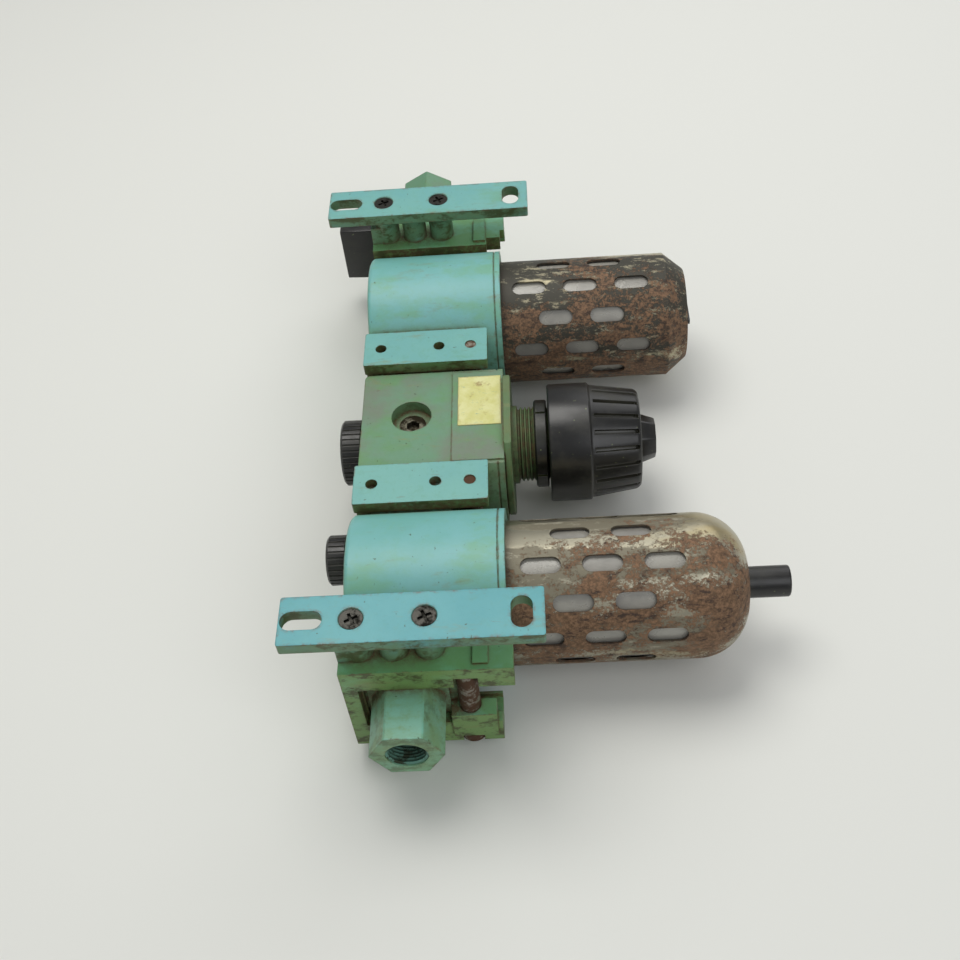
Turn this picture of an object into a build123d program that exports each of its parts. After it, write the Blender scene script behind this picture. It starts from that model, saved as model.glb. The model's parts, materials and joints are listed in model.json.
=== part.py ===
from build123d import *
import math
import os

# Filter, regulator and lubricator in one clamped row, for compressed air.
# +Z is up as installed, +Y points to the wall, +X runs with the air flow.
# The origin lies midway between the two wall bars, on the plane of their outer faces.

# Row layout
PITCH = 77.0
AXIS_Y = -44.0
PORT_Z = 5.5
FILTER_X = -PITCH
REGULATOR_X = 0.0
LUBRICATOR_X = PITCH
INLET_JOINT_X = -1.5 * PITCH
OUTLET_JOINT_X = 1.5 * PITCH
HALF_MODULE = PITCH / 2

# Module bodies: upright barrels with a square neck and lip at each side
BODY_RADIUS = 33.0
BODY_TOP = 27.5
BODY_BOTTOM = -32.0
BODY_FILLET = 2.0
RIM_LINE_Z = -29.4
NECK_HALF_Y = 16.5
NECK_HALF_Z = 16.0
LIP_HALF = 19.0
LIP_THICKNESS = 4.0
PORT_BORE = 7.5
REGULATOR_FLAT = 19.5

# Clamp yokes
JAW_OUTER_Y = -20.0
JAW_THICKNESS = 5.5
JAW_HALF_X = 10.0
JAW_TOP = 28.0
JAW_BOTTOM = -25.6
END_JAW_BOTTOM = -34.0
WEB_HALF_X = 5.2
YOKE_HALF_Y = 24.0
BOLT_RADIUS = 4.0
BOLT_HEAD_RADIUS = 5.2
BOLT_THREAD_RADIUS = 2.4
BOLT_Z = -18.4
END_BOLT_Z = -16.6
END_BOLT_SHIFT = 6.0
EAR_FRONT_Y = AXIS_Y - 21.0
TAPPED_HOLES_Z = (20.7, -4.7)
TAPPED_RADIUS = 2.4
POST_MIDDLE_Z = 8.0

# Wall bars
BAR_LENGTH = 92.0
BAR_WIDTH = 20.0
BAR_THICKNESS = 5.0
BAR_SLOT_Z = 38.1
SLOT_RADIUS = 3.8
TOP_SLOT_LENGTH = 14.8
BOTTOM_SLOT_LENGTH = 13.0
POST_RADIUS = 5.5
SCREW_HEAD_RADIUS = 4.6

# Bowls and guards
GUARD_RADIUS = 28.0
GUARD_WALL = 1.0
GUARD_TOP = -22.5
BOWL_RADIUS = 26.3
BOWL_WALL = 2.4
BOWL_TOP = -13.0
FILTER_GUARD_BOTTOM = -115.3
LUBRICATOR_GUARD_BOTTOM = -123.0
DOME_CORNER = 20.0
SLOT_ROWS = 12
GUARD_SLOT_LENGTH = 15.0
GUARD_SLOT_WIDTH = 6.5
LONG_ROW_Z = (-44.8, -67.6, -90.4)
SHORT_ROW_Z = (-56.2, -79.0)

# Ports and the shut-off valve
HEX_FLATS = 24.0
THREAD_BORE = 7.8
OUTLET_END_X = 145.0
INLET_END_X = -180.0
VALVE_BLOCK_END_X = -158.5
BALL_X = -137.5
BALL_RADIUS = 11.0
STEM_RADIUS = 4.0

RUNNING = 0.05
CLEAR = 0.3


def cyl_z(radius, low, high, x=0.0, y=AXIS_Y):
    """Upright cylinder between two heights."""
    return Pos(x, y, (low + high) / 2) * Cylinder(radius, high - low)


def cyl_x(radius, low, high, y=AXIS_Y, z=PORT_Z):
    """Cylinder along the flow direction."""
    return Pos((low + high) / 2, y, z) * Rot(0, 90, 0) * Cylinder(radius, high - low)


def cyl_y(radius, low, high, x, z):
    """Cylinder along the wall direction."""
    return Pos(x, (low + high) / 2, z) * Rot(90, 0, 0) * Cylinder(radius, high - low)


def block(x_low, x_high, y_low, y_high, z_low, z_high):
    """Box between six planes."""
    centre = Pos((x_low + x_high) / 2, (y_low + y_high) / 2, (z_low + z_high) / 2)
    return centre * Box(x_high - x_low, y_high - y_low, z_high - z_low)


def ring_z(outer, inner, low, high, x=0.0, y=AXIS_Y):
    """Upright tube."""
    return cyl_z(outer, low, high, x, y) - cyl_z(inner, low - 1, high + 1, x, y)


def turned(profile, x=0.0, y=AXIS_Y):
    """Solid of revolution about an upright axis, from (radius, height) points."""
    points = [(radius, 0, height) for radius, height in profile]
    face = make_face(Polyline(*points, close=True))
    return Pos(x, y, 0) * revolve(face, Axis.Z, 360)


def hexagon_x(flats, x_low, x_high, turn):
    """Hexagonal bar along the flow direction, on the port axis."""
    sketch = Rot(0, 0, turn) * RegularPolygon(flats / 2, 6, major_radius=False)
    bar = extrude(sketch, x_high - x_low)
    return Pos(x_low, AXIS_Y, PORT_Z) * Rot(0, 90, 0) * bar


def coil(radius, wire, low, high, turns, x, y=AXIS_Y):
    """Round-wire compression spring on an upright axis."""
    height = high - low - 2 * wire
    path = Helix(height / turns, height, radius)
    section = Plane(origin=path @ 0, z_dir=path % 0) * Circle(wire)
    return Pos(x, y, low + wire) * sweep(section, path=path, is_frenet=True)


def save(name, shape):
    """Write one node."""
    shape.label = name
    export_step(shape, "parts/" + name + ".step")


# Joint flanges


def neck(side):
    """Square neck and lip that a clamp yoke grips, on one side of a module at the origin."""
    inner = side * (HALF_MODULE - LIP_THICKNESS)
    outer = side * HALF_MODULE
    stub = block(min(side * 24, outer), max(side * 24, outer), AXIS_Y - NECK_HALF_Y, AXIS_Y + NECK_HALF_Y,
                 PORT_Z - NECK_HALF_Z, PORT_Z + NECK_HALF_Z)
    lip = block(min(inner, outer), max(inner, outer), AXIS_Y - LIP_HALF, AXIS_Y + LIP_HALF,
                PORT_Z - LIP_HALF + 0.5, PORT_Z + LIP_HALF - 0.5)
    return stub + lip


SEAL_RADIUS = 11.6
SEAL_WIRE = 0.8


def seal_groove(face_x):
    """Face groove for a flange seal, open towards +X."""
    outer = cyl_x(SEAL_RADIUS + SEAL_WIRE, face_x - 2 * SEAL_WIRE, face_x)
    return outer - cyl_x(SEAL_RADIUS - SEAL_WIRE, face_x - 2 * SEAL_WIRE - 1, face_x + 1)


def module_blank():
    """Barrel with a neck at each side, standing at the origin."""
    barrel = cyl_z(BODY_RADIUS, BODY_BOTTOM, BODY_TOP)
    barrel = fillet(barrel.edges().group_by(Axis.Z)[-1], BODY_FILLET)
    return barrel + neck(-1) + neck(1) - ring_z(BODY_RADIUS + 1, BODY_RADIUS - 0.5, RIM_LINE_Z - 0.3, RIM_LINE_Z + 0.3)


def bowl_socket():
    """Stepped bore under a module that takes a guard and its bowl."""
    guard_bore = cyl_z(GUARD_RADIUS + CLEAR, BODY_BOTTOM - 1, GUARD_TOP + CLEAR)
    bowl_bore = cyl_z(BOWL_RADIUS + CLEAR, GUARD_TOP, BOWL_TOP + CLEAR)
    return guard_bore + bowl_bore


# Filter module


def filter_body():
    """Filter head: inlet drops into the bowl, clean air rises through the middle."""
    body = module_blank() - bowl_socket()
    body += ring_z(13.0, 9.0, -25.0, BOWL_TOP + 1.0)
    body -= cyl_x(PORT_BORE, -HALF_MODULE - 1, -15.0)
    body -= cyl_z(4.5, -14.0, PORT_Z, -18.0)
    body -= cyl_z(9.0, -26.0, 12.0)
    body -= cyl_x(PORT_BORE, 0, HALF_MODULE + 1)
    body -= cyl_z(2.5, 10.0, 18.0)
    body -= seal_groove(HALF_MODULE)
    return Pos(FILTER_X, 0, 0) * body


def filter_deflector():
    """Louvred disc that spins the incoming air."""
    disc = ring_z(21.0, 9.0, -28.5, -25.0, FILTER_X)
    louvres = []
    for index in range(12):
        cut = Rot(0, 0, 30 * index) * Pos(17.5, 0, -27) * Rot(35, 0, 0) * Box(8.0, 1.6, 9.0)
        louvres.append(Pos(FILTER_X, AXIS_Y, 0) * cut)
    return disc - louvres


def filter_element():
    """Hollow sintered cylinder."""
    return ring_z(17.0, 12.5, -78.0, -28.5, FILTER_X)


def filter_baffle():
    """Shallow cone that keeps the water still."""
    profile = [(2.6, -79.8), (12, -79.8), (20, -84), (20, -82.4), (12.4, -78), (2.6, -78)]
    return turned(profile, FILTER_X)


def element_stud():
    """Rod from the head through the element."""
    return cyl_z(2.5, -87.0, 18.0, FILTER_X)


def element_nut():
    """Winged round nut under the baffle."""
    nut = cyl_z(6.0, -84.8, -79.8, FILTER_X) - cyl_z(2.5, -90, -70, FILTER_X)
    return nut


def bowl(bottom, corner, drain_radius):
    """Blown bowl with a rounded bottom and a drain hole, on an upright axis at X = 0."""
    outer = cyl_z(BOWL_RADIUS, bottom, BOWL_TOP)
    outer = fillet(outer.edges().group_by(Axis.Z)[0], corner)
    inner = cyl_z(BOWL_RADIUS - BOWL_WALL, bottom + BOWL_WALL, BOWL_TOP)
    inner = fillet(inner.edges().group_by(Axis.Z)[0], corner - BOWL_WALL)
    shell = outer - inner - cyl_z(drain_radius, bottom - 1, bottom + BOWL_WALL + 1)
    return shell - bowl_seal_groove()


BOWL_SEAL_Z = -17.0
BOWL_SEAL_WIRE = 0.75


def bowl_seal_groove():
    """Groove around a bowl's rim."""
    floor = BOWL_RADIUS - 1.35
    low = BOWL_SEAL_Z - BOWL_SEAL_WIRE - RUNNING
    high = BOWL_SEAL_Z + BOWL_SEAL_WIRE + RUNNING
    return ring_z(BOWL_RADIUS + 1, floor, low, high)


def bowl_seal(x):
    """Rubber ring in a bowl's groove, a light running fit in its socket."""
    centre = BOWL_RADIUS + CLEAR - RUNNING - BOWL_SEAL_WIRE
    return Pos(x, AXIS_Y, BOWL_SEAL_Z) * Torus(centre, BOWL_SEAL_WIRE)


def guard_slots():
    """Staggered rows of round-ended slots around a guard."""
    cutters = []
    for row in range(SLOT_ROWS):
        angle = 360 / SLOT_ROWS * row - 15
        for height in LONG_ROW_Z if row % 2 else SHORT_ROW_Z:
            sketch = SlotOverall(GUARD_SLOT_LENGTH, GUARD_SLOT_WIDTH)
            slot = Rot(0, 90, 0) * extrude(sketch, 8)
            cutters.append(Pos(0, AXIS_Y, height) * Rot(0, 0, angle) * Pos(GUARD_RADIUS - 4, 0, 0) * slot)
    return cutters


def filter_bowl():
    """Filter bowl with a nearly flat bottom."""
    return Pos(FILTER_X, 0, 0) * bowl(-111.8, 11.0, 3.4)


def filter_guard():
    """Pressed guard with a bevelled end and an open middle."""
    inner = GUARD_RADIUS - GUARD_WALL
    low = FILTER_GUARD_BOTTOM
    profile = [(GUARD_RADIUS, GUARD_TOP), (GUARD_RADIUS, low + 9), (20.5, low), (12.0, low),
               (12.0, low + GUARD_WALL), (20.0, low + GUARD_WALL), (inner, low + 9.4), (inner, GUARD_TOP)]
    shell = turned(profile) - guard_slots()
    return Pos(FILTER_X, 0, 0) * shell


def filter_drain():
    """Twist drain valve in the bottom of the filter bowl."""
    stem = cyl_z(3.4 - RUNNING, -114.0, -108.9, FILTER_X)
    head = cyl_z(5.5, -108.9, -107.0, FILTER_X)
    knob = cyl_z(7.5, -115.4, -112.4, FILTER_X)
    wing = block(FILTER_X - 6.5, FILTER_X + 6.5, AXIS_Y - 1.2, AXIS_Y + 1.2, -118.0, -115.4)
    return stem + head + knob + wing


# Regulator module

SEAT_Z = 8.0
THROAT_RADIUS = 4.2
VALVE_CHAMBER = 8.5
LOWER_CHAMBER_TOP = -4.0
LOWER_CHAMBER_FLOOR = -12.0
DIAPHRAGM_RADIUS = 17.5
DIAPHRAGM_THICKNESS = 1.0
PLUG_RADIUS = 5.6
COUNTERBORE = 8.4
COUNTERBORE_DEPTH = 5.5
PLUG_HOLE_DEPTH = 10.0
GAUGE_X = -1.4
GAUGE_Z = 6.6
LABEL_LENGTH = 28.0
LABEL_HEIGHT = 18.0


def regulator_body():
    """Regulator casting with flat front and back, a valve throat and a gauge port on each flat."""
    body = module_blank()
    flats = BODY_RADIUS + 1
    body -= block(-flats, flats, AXIS_Y + REGULATOR_FLAT, AXIS_Y + flats, BODY_BOTTOM - 1, BODY_TOP + 1)
    body -= block(-flats, flats, AXIS_Y - flats, AXIS_Y - REGULATOR_FLAT, BODY_BOTTOM - 1, BODY_TOP + 1)
    back = AXIS_Y + REGULATOR_FLAT
    body += block(-25.0, 25.0, back, back + 0.7, BODY_BOTTOM, -10.5)
    body -= cyl_z(VALVE_CHAMBER, SEAT_Z, BODY_TOP)
    body -= cyl_z(10.5, 19.0, BODY_TOP + 1)
    body -= cyl_z(THROAT_RADIUS, LOWER_CHAMBER_FLOOR, SEAT_Z + 1)
    body -= cyl_z(15.0, LOWER_CHAMBER_FLOOR, LOWER_CHAMBER_TOP)
    body -= cyl_z(1.5 + RUNNING, -21.0, LOWER_CHAMBER_FLOOR + 1)
    body -= cyl_z(15.0, BODY_BOTTOM - 1, -20.0)
    body -= cyl_z(DIAPHRAGM_RADIUS, BODY_BOTTOM - 1, BODY_BOTTOM + DIAPHRAGM_THICKNESS)
    body -= cyl_x(PORT_BORE, -HALF_MODULE - 1, -7.5)
    body -= cyl_x(PORT_BORE, 12.0, HALF_MODULE + 1)
    body -= cyl_z(3.5, LOWER_CHAMBER_TOP - 1, PORT_Z, 12.5)
    for side in (1, -1):
        face = AXIS_Y + side * REGULATOR_FLAT
        mouth = face - side * COUNTERBORE_DEPTH
        floor = face - side * PLUG_HOLE_DEPTH
        body -= cyl_y(COUNTERBORE, min(face, mouth), max(face, mouth), GAUGE_X, GAUGE_Z)
        body -= cyl_y(PLUG_RADIUS, min(mouth, floor), max(mouth, floor), GAUGE_X, GAUGE_Z)
        sense_y = AXIS_Y + side * (REGULATOR_FLAT - 8.5)
        body -= cyl_z(1.2, LOWER_CHAMBER_TOP - 1, GAUGE_Z, GAUGE_X, sense_y)
    body -= seal_groove(HALF_MODULE)
    return body


def gauge_plugs():
    """Socket-head plugs that close the two gauge ports."""
    plugs = []
    for side in (1, -1):
        outer = AXIS_Y + side * (REGULATOR_FLAT - COUNTERBORE_DEPTH - 0.4)
        inner = AXIS_Y + side * (REGULATOR_FLAT - PLUG_HOLE_DEPTH)
        low = min(outer, inner)
        high = max(outer, inner)
        plug = cyl_y(PLUG_RADIUS, low, high, GAUGE_X, GAUGE_Z)
        socket = extrude(RegularPolygon(2.6, 6, major_radius=False), 2.6, both=True)
        plugs.append(plug - Pos(GAUGE_X, outer, GAUGE_Z) * Rot(90, 0, 0) * socket)
    return Compound(children=plugs)


def rating_label():
    """Thin plate on the regulator's back."""
    back = AXIS_Y + REGULATOR_FLAT + 0.7
    return block(-22.0, -22.0 + LABEL_LENGTH, back, back + 0.25, -31.0, -31.0 + LABEL_HEIGHT)


BONNET_THREAD = 15.8
BONNET_BORE = 12.6
BONNET_END = -72.4


def bonnet():
    """Flanged tube that holds the range spring."""
    profile = [(30.0, BODY_BOTTOM), (30.0, -35.0), (16.6, -35.0), (16.6, -37.2), (BONNET_THREAD, -37.4),
               (BONNET_THREAD, -50.4), (14.6, -50.6), (14.6, BONNET_END), (4.3, BONNET_END),
               (4.3, BONNET_END + 3), (BONNET_BORE, BONNET_END + 3), (BONNET_BORE, -34.4), (15.0, -34.4),
               (15.0, BODY_BOTTOM)]
    flats = REGULATOR_FLAT + 3.5
    return turned(profile) & block(-31, 31, AXIS_Y - flats, AXIS_Y + flats, -80, -30)


def ring_nut():
    """Round panel nut on the neck."""
    nut = ring_z(18.6, BONNET_THREAD, -49.8, -44.4)
    nut = chamfer(nut.edges().group_by(Axis.Z)[-1], 0.8)
    return nut


def diaphragm():
    """Rubber disc clamped under the body."""
    return ring_z(DIAPHRAGM_RADIUS, 3.3, BODY_BOTTOM, BODY_BOTTOM + DIAPHRAGM_THICKNESS)


def diaphragm_plate():
    """Pad and washer on either side of the diaphragm."""
    profile = [(0, -34.2), (11.5, -34.2), (11.5, -32.3), (3.0, -32.3), (3.0, -30.7), (11.0, -30.7),
               (11.0, -29.2), (1.5, -29.2), (1.5, -30.2), (0, -30.2)]
    return turned(profile)


def poppet_valve():
    """Valve disc on a thin stem that stands on the diaphragm plate."""
    profile = [(0, -30.2), (1.5, -30.2), (1.5, SEAT_Z + CLEAR), (6.5, SEAT_Z + CLEAR), (6.5, 11.0),
               (2.5, 12.0), (2.5, 13.5), (0, 13.5)]
    return turned(profile)


def valve_spring():
    """Light spring above the poppet."""
    return coil(4.2, 0.5, 12.2, 24.0, 6, 0)


def valve_cap():
    """Ribbed cap that closes the valve chamber."""
    head = cyl_z(14.0, BODY_TOP, 37.5)
    head = chamfer(head.edges().group_by(Axis.Z)[-1], 1.0)
    grooves = []
    count = 36
    for index in range(count):
        cut = Rot(0, 0, 360 / count * index) * Pos(14.2, 0, 33) * Rot(0, 0, 45) * Box(1.2, 1.2, 12)
        grooves.append(Pos(0, AXIS_Y, 0) * cut)
    plug = cyl_z(10.5, 19.0, BODY_TOP) - cyl_z(6.0, 18.0, 24.0)
    return head - grooves + plug


SPRING_SEAT_LOW = -66.6
SPRING_SEAT_HIGH = -62.6


def range_spring():
    """Heavy spring between its seat and the diaphragm pad."""
    return coil(9.6, 1.4, SPRING_SEAT_HIGH + 0.1, -34.4, 5.5, 0)


def spring_seat():
    """Threaded seat that climbs the adjusting screw."""
    return ring_z(BONNET_BORE - CLEAR, 4.05, SPRING_SEAT_LOW, SPRING_SEAT_HIGH)


def adjusting_screw():
    """Screw fixed in the knob."""
    return cyl_z(3.95, -84.4, -56.0)


def adjusting_knob():
    """Skirted knob with a ribbed cone."""
    profile = [(22.3, -50.3), (25.0, -50.3), (25.0, -67.7), (24.0, -68.7), (21.0, -87.4), (19.8, -88.4),
               (0, -88.4), (0, -84.4), (3.95, -84.4), (3.95, -73.8), (16.2, -73.8), (16.2, -64.6),
               (22.3, -64.6)]
    knob = turned(profile)
    grooves = []
    count = 20
    for index in range(count):
        cut = Rot(0, 0, 360 / count * index) * Pos(24.4, 0, -78.0) * Rot(0, 9, 0) * Box(3.0, 2.4, 20)
        grooves.append(Pos(0, AXIS_Y, 0) * cut)
    return knob - grooves


def knob_lock_cap():
    """Faceted cap that locks the knob."""
    base = Pos(0, AXIS_Y, -88.4) * RegularPolygon(10.8, 8)
    tip = Pos(0, AXIS_Y, -95.4) * RegularPolygon(8.4, 8)
    return loft([base.face(), tip.face()])


# Lubricator module

DOME_X = LUBRICATOR_X + 10.0
DOME_Y = AXIS_Y - 12.0
FEED_X = LUBRICATOR_X - 9.5
FEED_Y = AXIS_Y + 13.5


def lubricator_body():
    """Lubricator head with a straight air bore, an oil riser and two wells on top."""
    body = module_blank() - bowl_socket()
    body -= cyl_x(PORT_BORE, -HALF_MODULE - 1, HALF_MODULE + 1)
    body = Pos(LUBRICATOR_X, 0, 0) * body
    body -= cyl_z(2.0, -16.0, BODY_TOP + 1, DOME_X, DOME_Y - 1.5)
    body -= cyl_z(6.6, 23.0, BODY_TOP + 1, DOME_X, DOME_Y)
    body -= cyl_z(2.5 + RUNNING, 14.0, BODY_TOP + 1, FEED_X, FEED_Y)
    body -= Pos(LUBRICATOR_X, 0, 0) * seal_groove(HALF_MODULE)
    return body


def venturi_insert():
    """Necked sleeve in the air bore."""
    profile = [(PORT_BORE, -9), (PORT_BORE, 9), (6.5, 9), (4.0, 2), (4.0, -2), (6.5, -9)]
    points = [(height, radius) for radius, height in profile]
    face = make_face(Polyline(*points, close=True))
    sleeve = revolve(face, Axis.X, 360)
    return Pos(LUBRICATOR_X, AXIS_Y, PORT_Z) * sleeve


def siphon_tube():
    """Oil pick-up tube hanging in the bowl."""
    return ring_z(2.0, 1.2, -106.0, -6.0, DOME_X, DOME_Y - 1.5)


def sight_dome():
    """Clear dome over the drip tube."""
    shell = cyl_z(8.0, BODY_TOP, 35.0, DOME_X, DOME_Y)
    shell = fillet(shell.edges().group_by(Axis.Z)[-1], 5.0)
    core = cyl_z(6.4, 23.0, 33.4, DOME_X, DOME_Y)
    core = fillet(core.edges().group_by(Axis.Z)[-1], 3.6)
    return shell + ring_z(6.6, 6.0, 23.0, BODY_TOP, DOME_X, DOME_Y) - core


def drip_tube():
    """Short brass nozzle under the dome."""
    base = cyl_z(5.8, 23.0, 24.4, DOME_X, DOME_Y) - cyl_z(2.2, 22, 25, DOME_X, DOME_Y - 1.5)
    return base + cyl_z(0.9, 24.4, 31.0, DOME_X, DOME_Y + 2.5)


def feed_knob():
    """Ribbed knob with its metering needle."""
    head = cyl_z(9.8, BODY_TOP + CLEAR, 36.8, FEED_X, FEED_Y)
    head = chamfer(head.edges().group_by(Axis.Z)[-1], 0.8)
    grooves = []
    count = 24
    for index in range(count):
        cut = Rot(0, 0, 360 / count * index) * Pos(10.0, 0, 33) * Rot(0, 0, 45) * Box(1.3, 1.3, 14)
        grooves.append(Pos(FEED_X, FEED_Y, 0) * cut)
    return head - grooves + cyl_z(2.5, 16.0, 29.0, FEED_X, FEED_Y)


def lubricator_bowl():
    """Lubricator bowl with a round bottom."""
    return Pos(LUBRICATOR_X, 0, 0) * bowl(-120.0, 18.0, 4.2)


def lubricator_guard():
    """Pressed guard with a round end."""
    low = LUBRICATOR_GUARD_BOTTOM
    outer = cyl_z(GUARD_RADIUS, low, GUARD_TOP)
    outer = fillet(outer.edges().group_by(Axis.Z)[0], DOME_CORNER)
    inner = cyl_z(GUARD_RADIUS - GUARD_WALL, low + GUARD_WALL, GUARD_TOP + 1)
    inner = fillet(inner.edges().group_by(Axis.Z)[0], DOME_CORNER - GUARD_WALL)
    shell = outer - inner - cyl_z(6.8, low - 1, low + 2) - guard_slots()
    return Pos(LUBRICATOR_X, 0, 0) * shell


def lubricator_drain():
    """Push-up drain: a disc inside the bowl on a stem that ends in a hose tube."""
    disc = cyl_z(7.0, -117.3, -115.3, LUBRICATOR_X)
    stem = cyl_z(4.2 - RUNNING * 2, -123.4, -117.3, LUBRICATOR_X)
    tube = cyl_z(6.1, -139.4, -123.4, LUBRICATOR_X)
    tube = fillet(tube.edges().group_by(Axis.Z)[0], 0.9)
    return disc + stem + tube - cyl_z(2.6, -140, -120, LUBRICATOR_X)


def drain_spring():
    """Fine spring that holds the drain shut."""
    return coil(5.3, 0.35, -123.3, -120.1, 2, LUBRICATOR_X)


# Ends


def outlet_adapter():
    """Lip, neck and hexagonal boss with a pipe thread."""
    start = OUTLET_JOINT_X
    lip = block(start, start + LIP_THICKNESS, AXIS_Y - LIP_HALF, AXIS_Y + LIP_HALF,
                PORT_Z - LIP_HALF + 0.5, PORT_Z + LIP_HALF - 0.5)
    stub = block(start, start + 5.6, AXIS_Y - NECK_HALF_Y, AXIS_Y + NECK_HALF_Y, PORT_Z - 15, PORT_Z + 15)
    boss = hexagon_x(HEX_FLATS, start, OUTLET_END_X, 0)
    boss &= cyl_x(HEX_FLATS / math.sqrt(3) - 0.2, start - 1, OUTLET_END_X)
    shape = lip + stub + boss
    shape -= cyl_x(THREAD_BORE, OUTLET_END_X - 20, OUTLET_END_X + 1)
    return shape - cyl_x(6.0, start - 1, OUTLET_END_X - 19)


def inlet_port_adapter():
    """Hexagonal screwed end of the shut-off valve."""
    spigot = cyl_x(12.0, BALL_X - BALL_RADIUS - 9.5, BALL_X - BALL_RADIUS + 0.1)
    boss = hexagon_x(HEX_FLATS, INLET_END_X, VALVE_BLOCK_END_X, 30)
    boss &= cyl_x(HEX_FLATS / math.sqrt(3) - 0.2, INLET_END_X, VALVE_BLOCK_END_X + 1)
    shape = spigot + boss
    shape -= cyl_x(THREAD_BORE, INLET_END_X - 1, INLET_END_X + 20)
    return shape - cyl_x(6.0, INLET_END_X + 19, BALL_X)


def shutoff_valve_body():
    """Block with a lip for the inlet yoke and a chamber for the ball."""
    start = INLET_JOINT_X
    lip = block(start - LIP_THICKNESS, start, AXIS_Y - LIP_HALF, AXIS_Y + LIP_HALF,
                PORT_Z - LIP_HALF + 0.5, PORT_Z + LIP_HALF - 0.5)
    stub = block(start - 5.6, start, AXIS_Y - NECK_HALF_Y, AXIS_Y + NECK_HALF_Y, PORT_Z - 15, PORT_Z + 15)
    stub += cyl_x(12.0, start - 12.0, start)
    core = block(VALVE_BLOCK_END_X, start - 11.5, AXIS_Y - 18, AXIS_Y + 18, -13.0, BODY_TOP)
    core = fillet(core.edges().filter_by(Axis.X), 2.0)
    shape = lip + stub + core
    shape -= cyl_x(6.0, BALL_X, start + 1)
    shape -= cyl_x(12.0, VALVE_BLOCK_END_X - 1, BALL_X + BALL_RADIUS - 0.1)
    shape -= cyl_z(STEM_RADIUS + RUNNING, PORT_Z, BODY_TOP + 1, BALL_X)
    return shape - seal_groove(start)


def shutoff_seats():
    """Soft rings on either side of the ball."""
    rings = []
    for side in (-1, 1):
        profile = [(10.9, 6.2), (10.9, 12.0), (7.4, 12.0), (7.4, 8.3), (9.3, 6.2)]
        face = make_face(Polyline(*[(side * along, radius) for along, radius in profile], close=True))
        rings.append(Pos(BALL_X, AXIS_Y, PORT_Z) * revolve(face, Axis.X, 360))
    return Compound(children=rings)


def shutoff_ball():
    """Bored ball, drawn closed, with a slot for the stem."""
    ball = Pos(BALL_X, AXIS_Y, PORT_Z) * Sphere(BALL_RADIUS)
    ball -= cyl_y(5.5, AXIS_Y - 12, AXIS_Y + 12, BALL_X, PORT_Z)
    return ball - block(BALL_X - 1.5, BALL_X + 1.5, AXIS_Y - 12, AXIS_Y + 12, PORT_Z + 8.0, PORT_Z + 12)


def shutoff_stem():
    """Stem with a tang in the ball."""
    shaft = cyl_z(STEM_RADIUS, PORT_Z + BALL_RADIUS + 0.2, BODY_TOP + 6.0, BALL_X)
    tang = block(BALL_X - 1.4, BALL_X + 1.4, AXIS_Y - 3.5, AXIS_Y + 3.5, PORT_Z + 8.2, PORT_Z + 12)
    return shaft + tang


def shutoff_handle():
    """Moulded block handle pressed on the stem."""
    grip = block(BALL_X - 5.0, BALL_X + 5.0, AXIS_Y - 15.0, AXIS_Y + 15.0, BODY_TOP + 2.0, 47.5)
    grip = fillet(grip.edges(), 1.8)
    hub = cyl_z(7.0, BODY_TOP + CLEAR, BODY_TOP + 4.0, BALL_X)
    return grip + hub - cyl_z(STEM_RADIUS, BODY_TOP, BODY_TOP + 6.0, BALL_X)


def flange_seals():
    """Face seals at the four joints."""
    seals = []
    for joint in (INLET_JOINT_X, -HALF_MODULE, HALF_MODULE, OUTLET_JOINT_X):
        centre = Pos(joint - SEAL_WIRE, AXIS_Y, PORT_Z)
        seals.append(centre * Rot(0, 90, 0) * Torus(SEAL_RADIUS, SEAL_WIRE))
    return Compound(children=seals)


# Clamps and wall bars


def yoke_web(half_x, bottom):
    """C-shaped frame around the lips, open at the bottom."""
    frame = block(-half_x, half_x, AXIS_Y - YOKE_HALF_Y, AXIS_Y + YOKE_HALF_Y, bottom, JAW_TOP)
    window = block(-half_x - 1, half_x + 1, AXIS_Y - NECK_HALF_Y - 0.2, AXIS_Y + NECK_HALF_Y + 0.2,
                   bottom - 1, PORT_Z + NECK_HALF_Z + 0.2)
    return frame - window


def lip_groove():
    """Space for the two lips inside a yoke."""
    half = LIP_THICKNESS + RUNNING
    return block(-half, half, AXIS_Y - LIP_HALF - 0.05, AXIS_Y + LIP_HALF + 0.05, -40,
                 PORT_Z + LIP_HALF - 0.4)


def middle_yoke(joint_x):
    """Yoke between two modules; its back jaw is a short drilled bar."""
    shape = yoke_web(WEB_HALF_X, JAW_BOTTOM + 1)
    for side in (1, -1):
        outer = AXIS_Y + side * YOKE_HALF_Y
        inner = outer - side * JAW_THICKNESS
        jaw = block(-JAW_HALF_X, JAW_HALF_X, min(outer, inner), max(outer, inner), JAW_BOTTOM, JAW_TOP)
        shape += fillet(jaw.edges().filter_by(Axis.Y), 0.8)
    shape -= lip_groove()
    shape -= cyl_y(BOLT_RADIUS, AXIS_Y - 30, JAW_OUTER_Y - JAW_THICKNESS, 0, BOLT_Z)
    shape -= cyl_y(BOLT_THREAD_RADIUS, JAW_OUTER_Y - JAW_THICKNESS - 1, JAW_OUTER_Y + 1, 0, BOLT_Z)
    for height in TAPPED_HOLES_Z:
        shape -= cyl_y(TAPPED_RADIUS, JAW_OUTER_Y - 4.2, JAW_OUTER_Y + 1, 0, height)
    return Pos(joint_x, 0, 0) * shape


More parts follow.
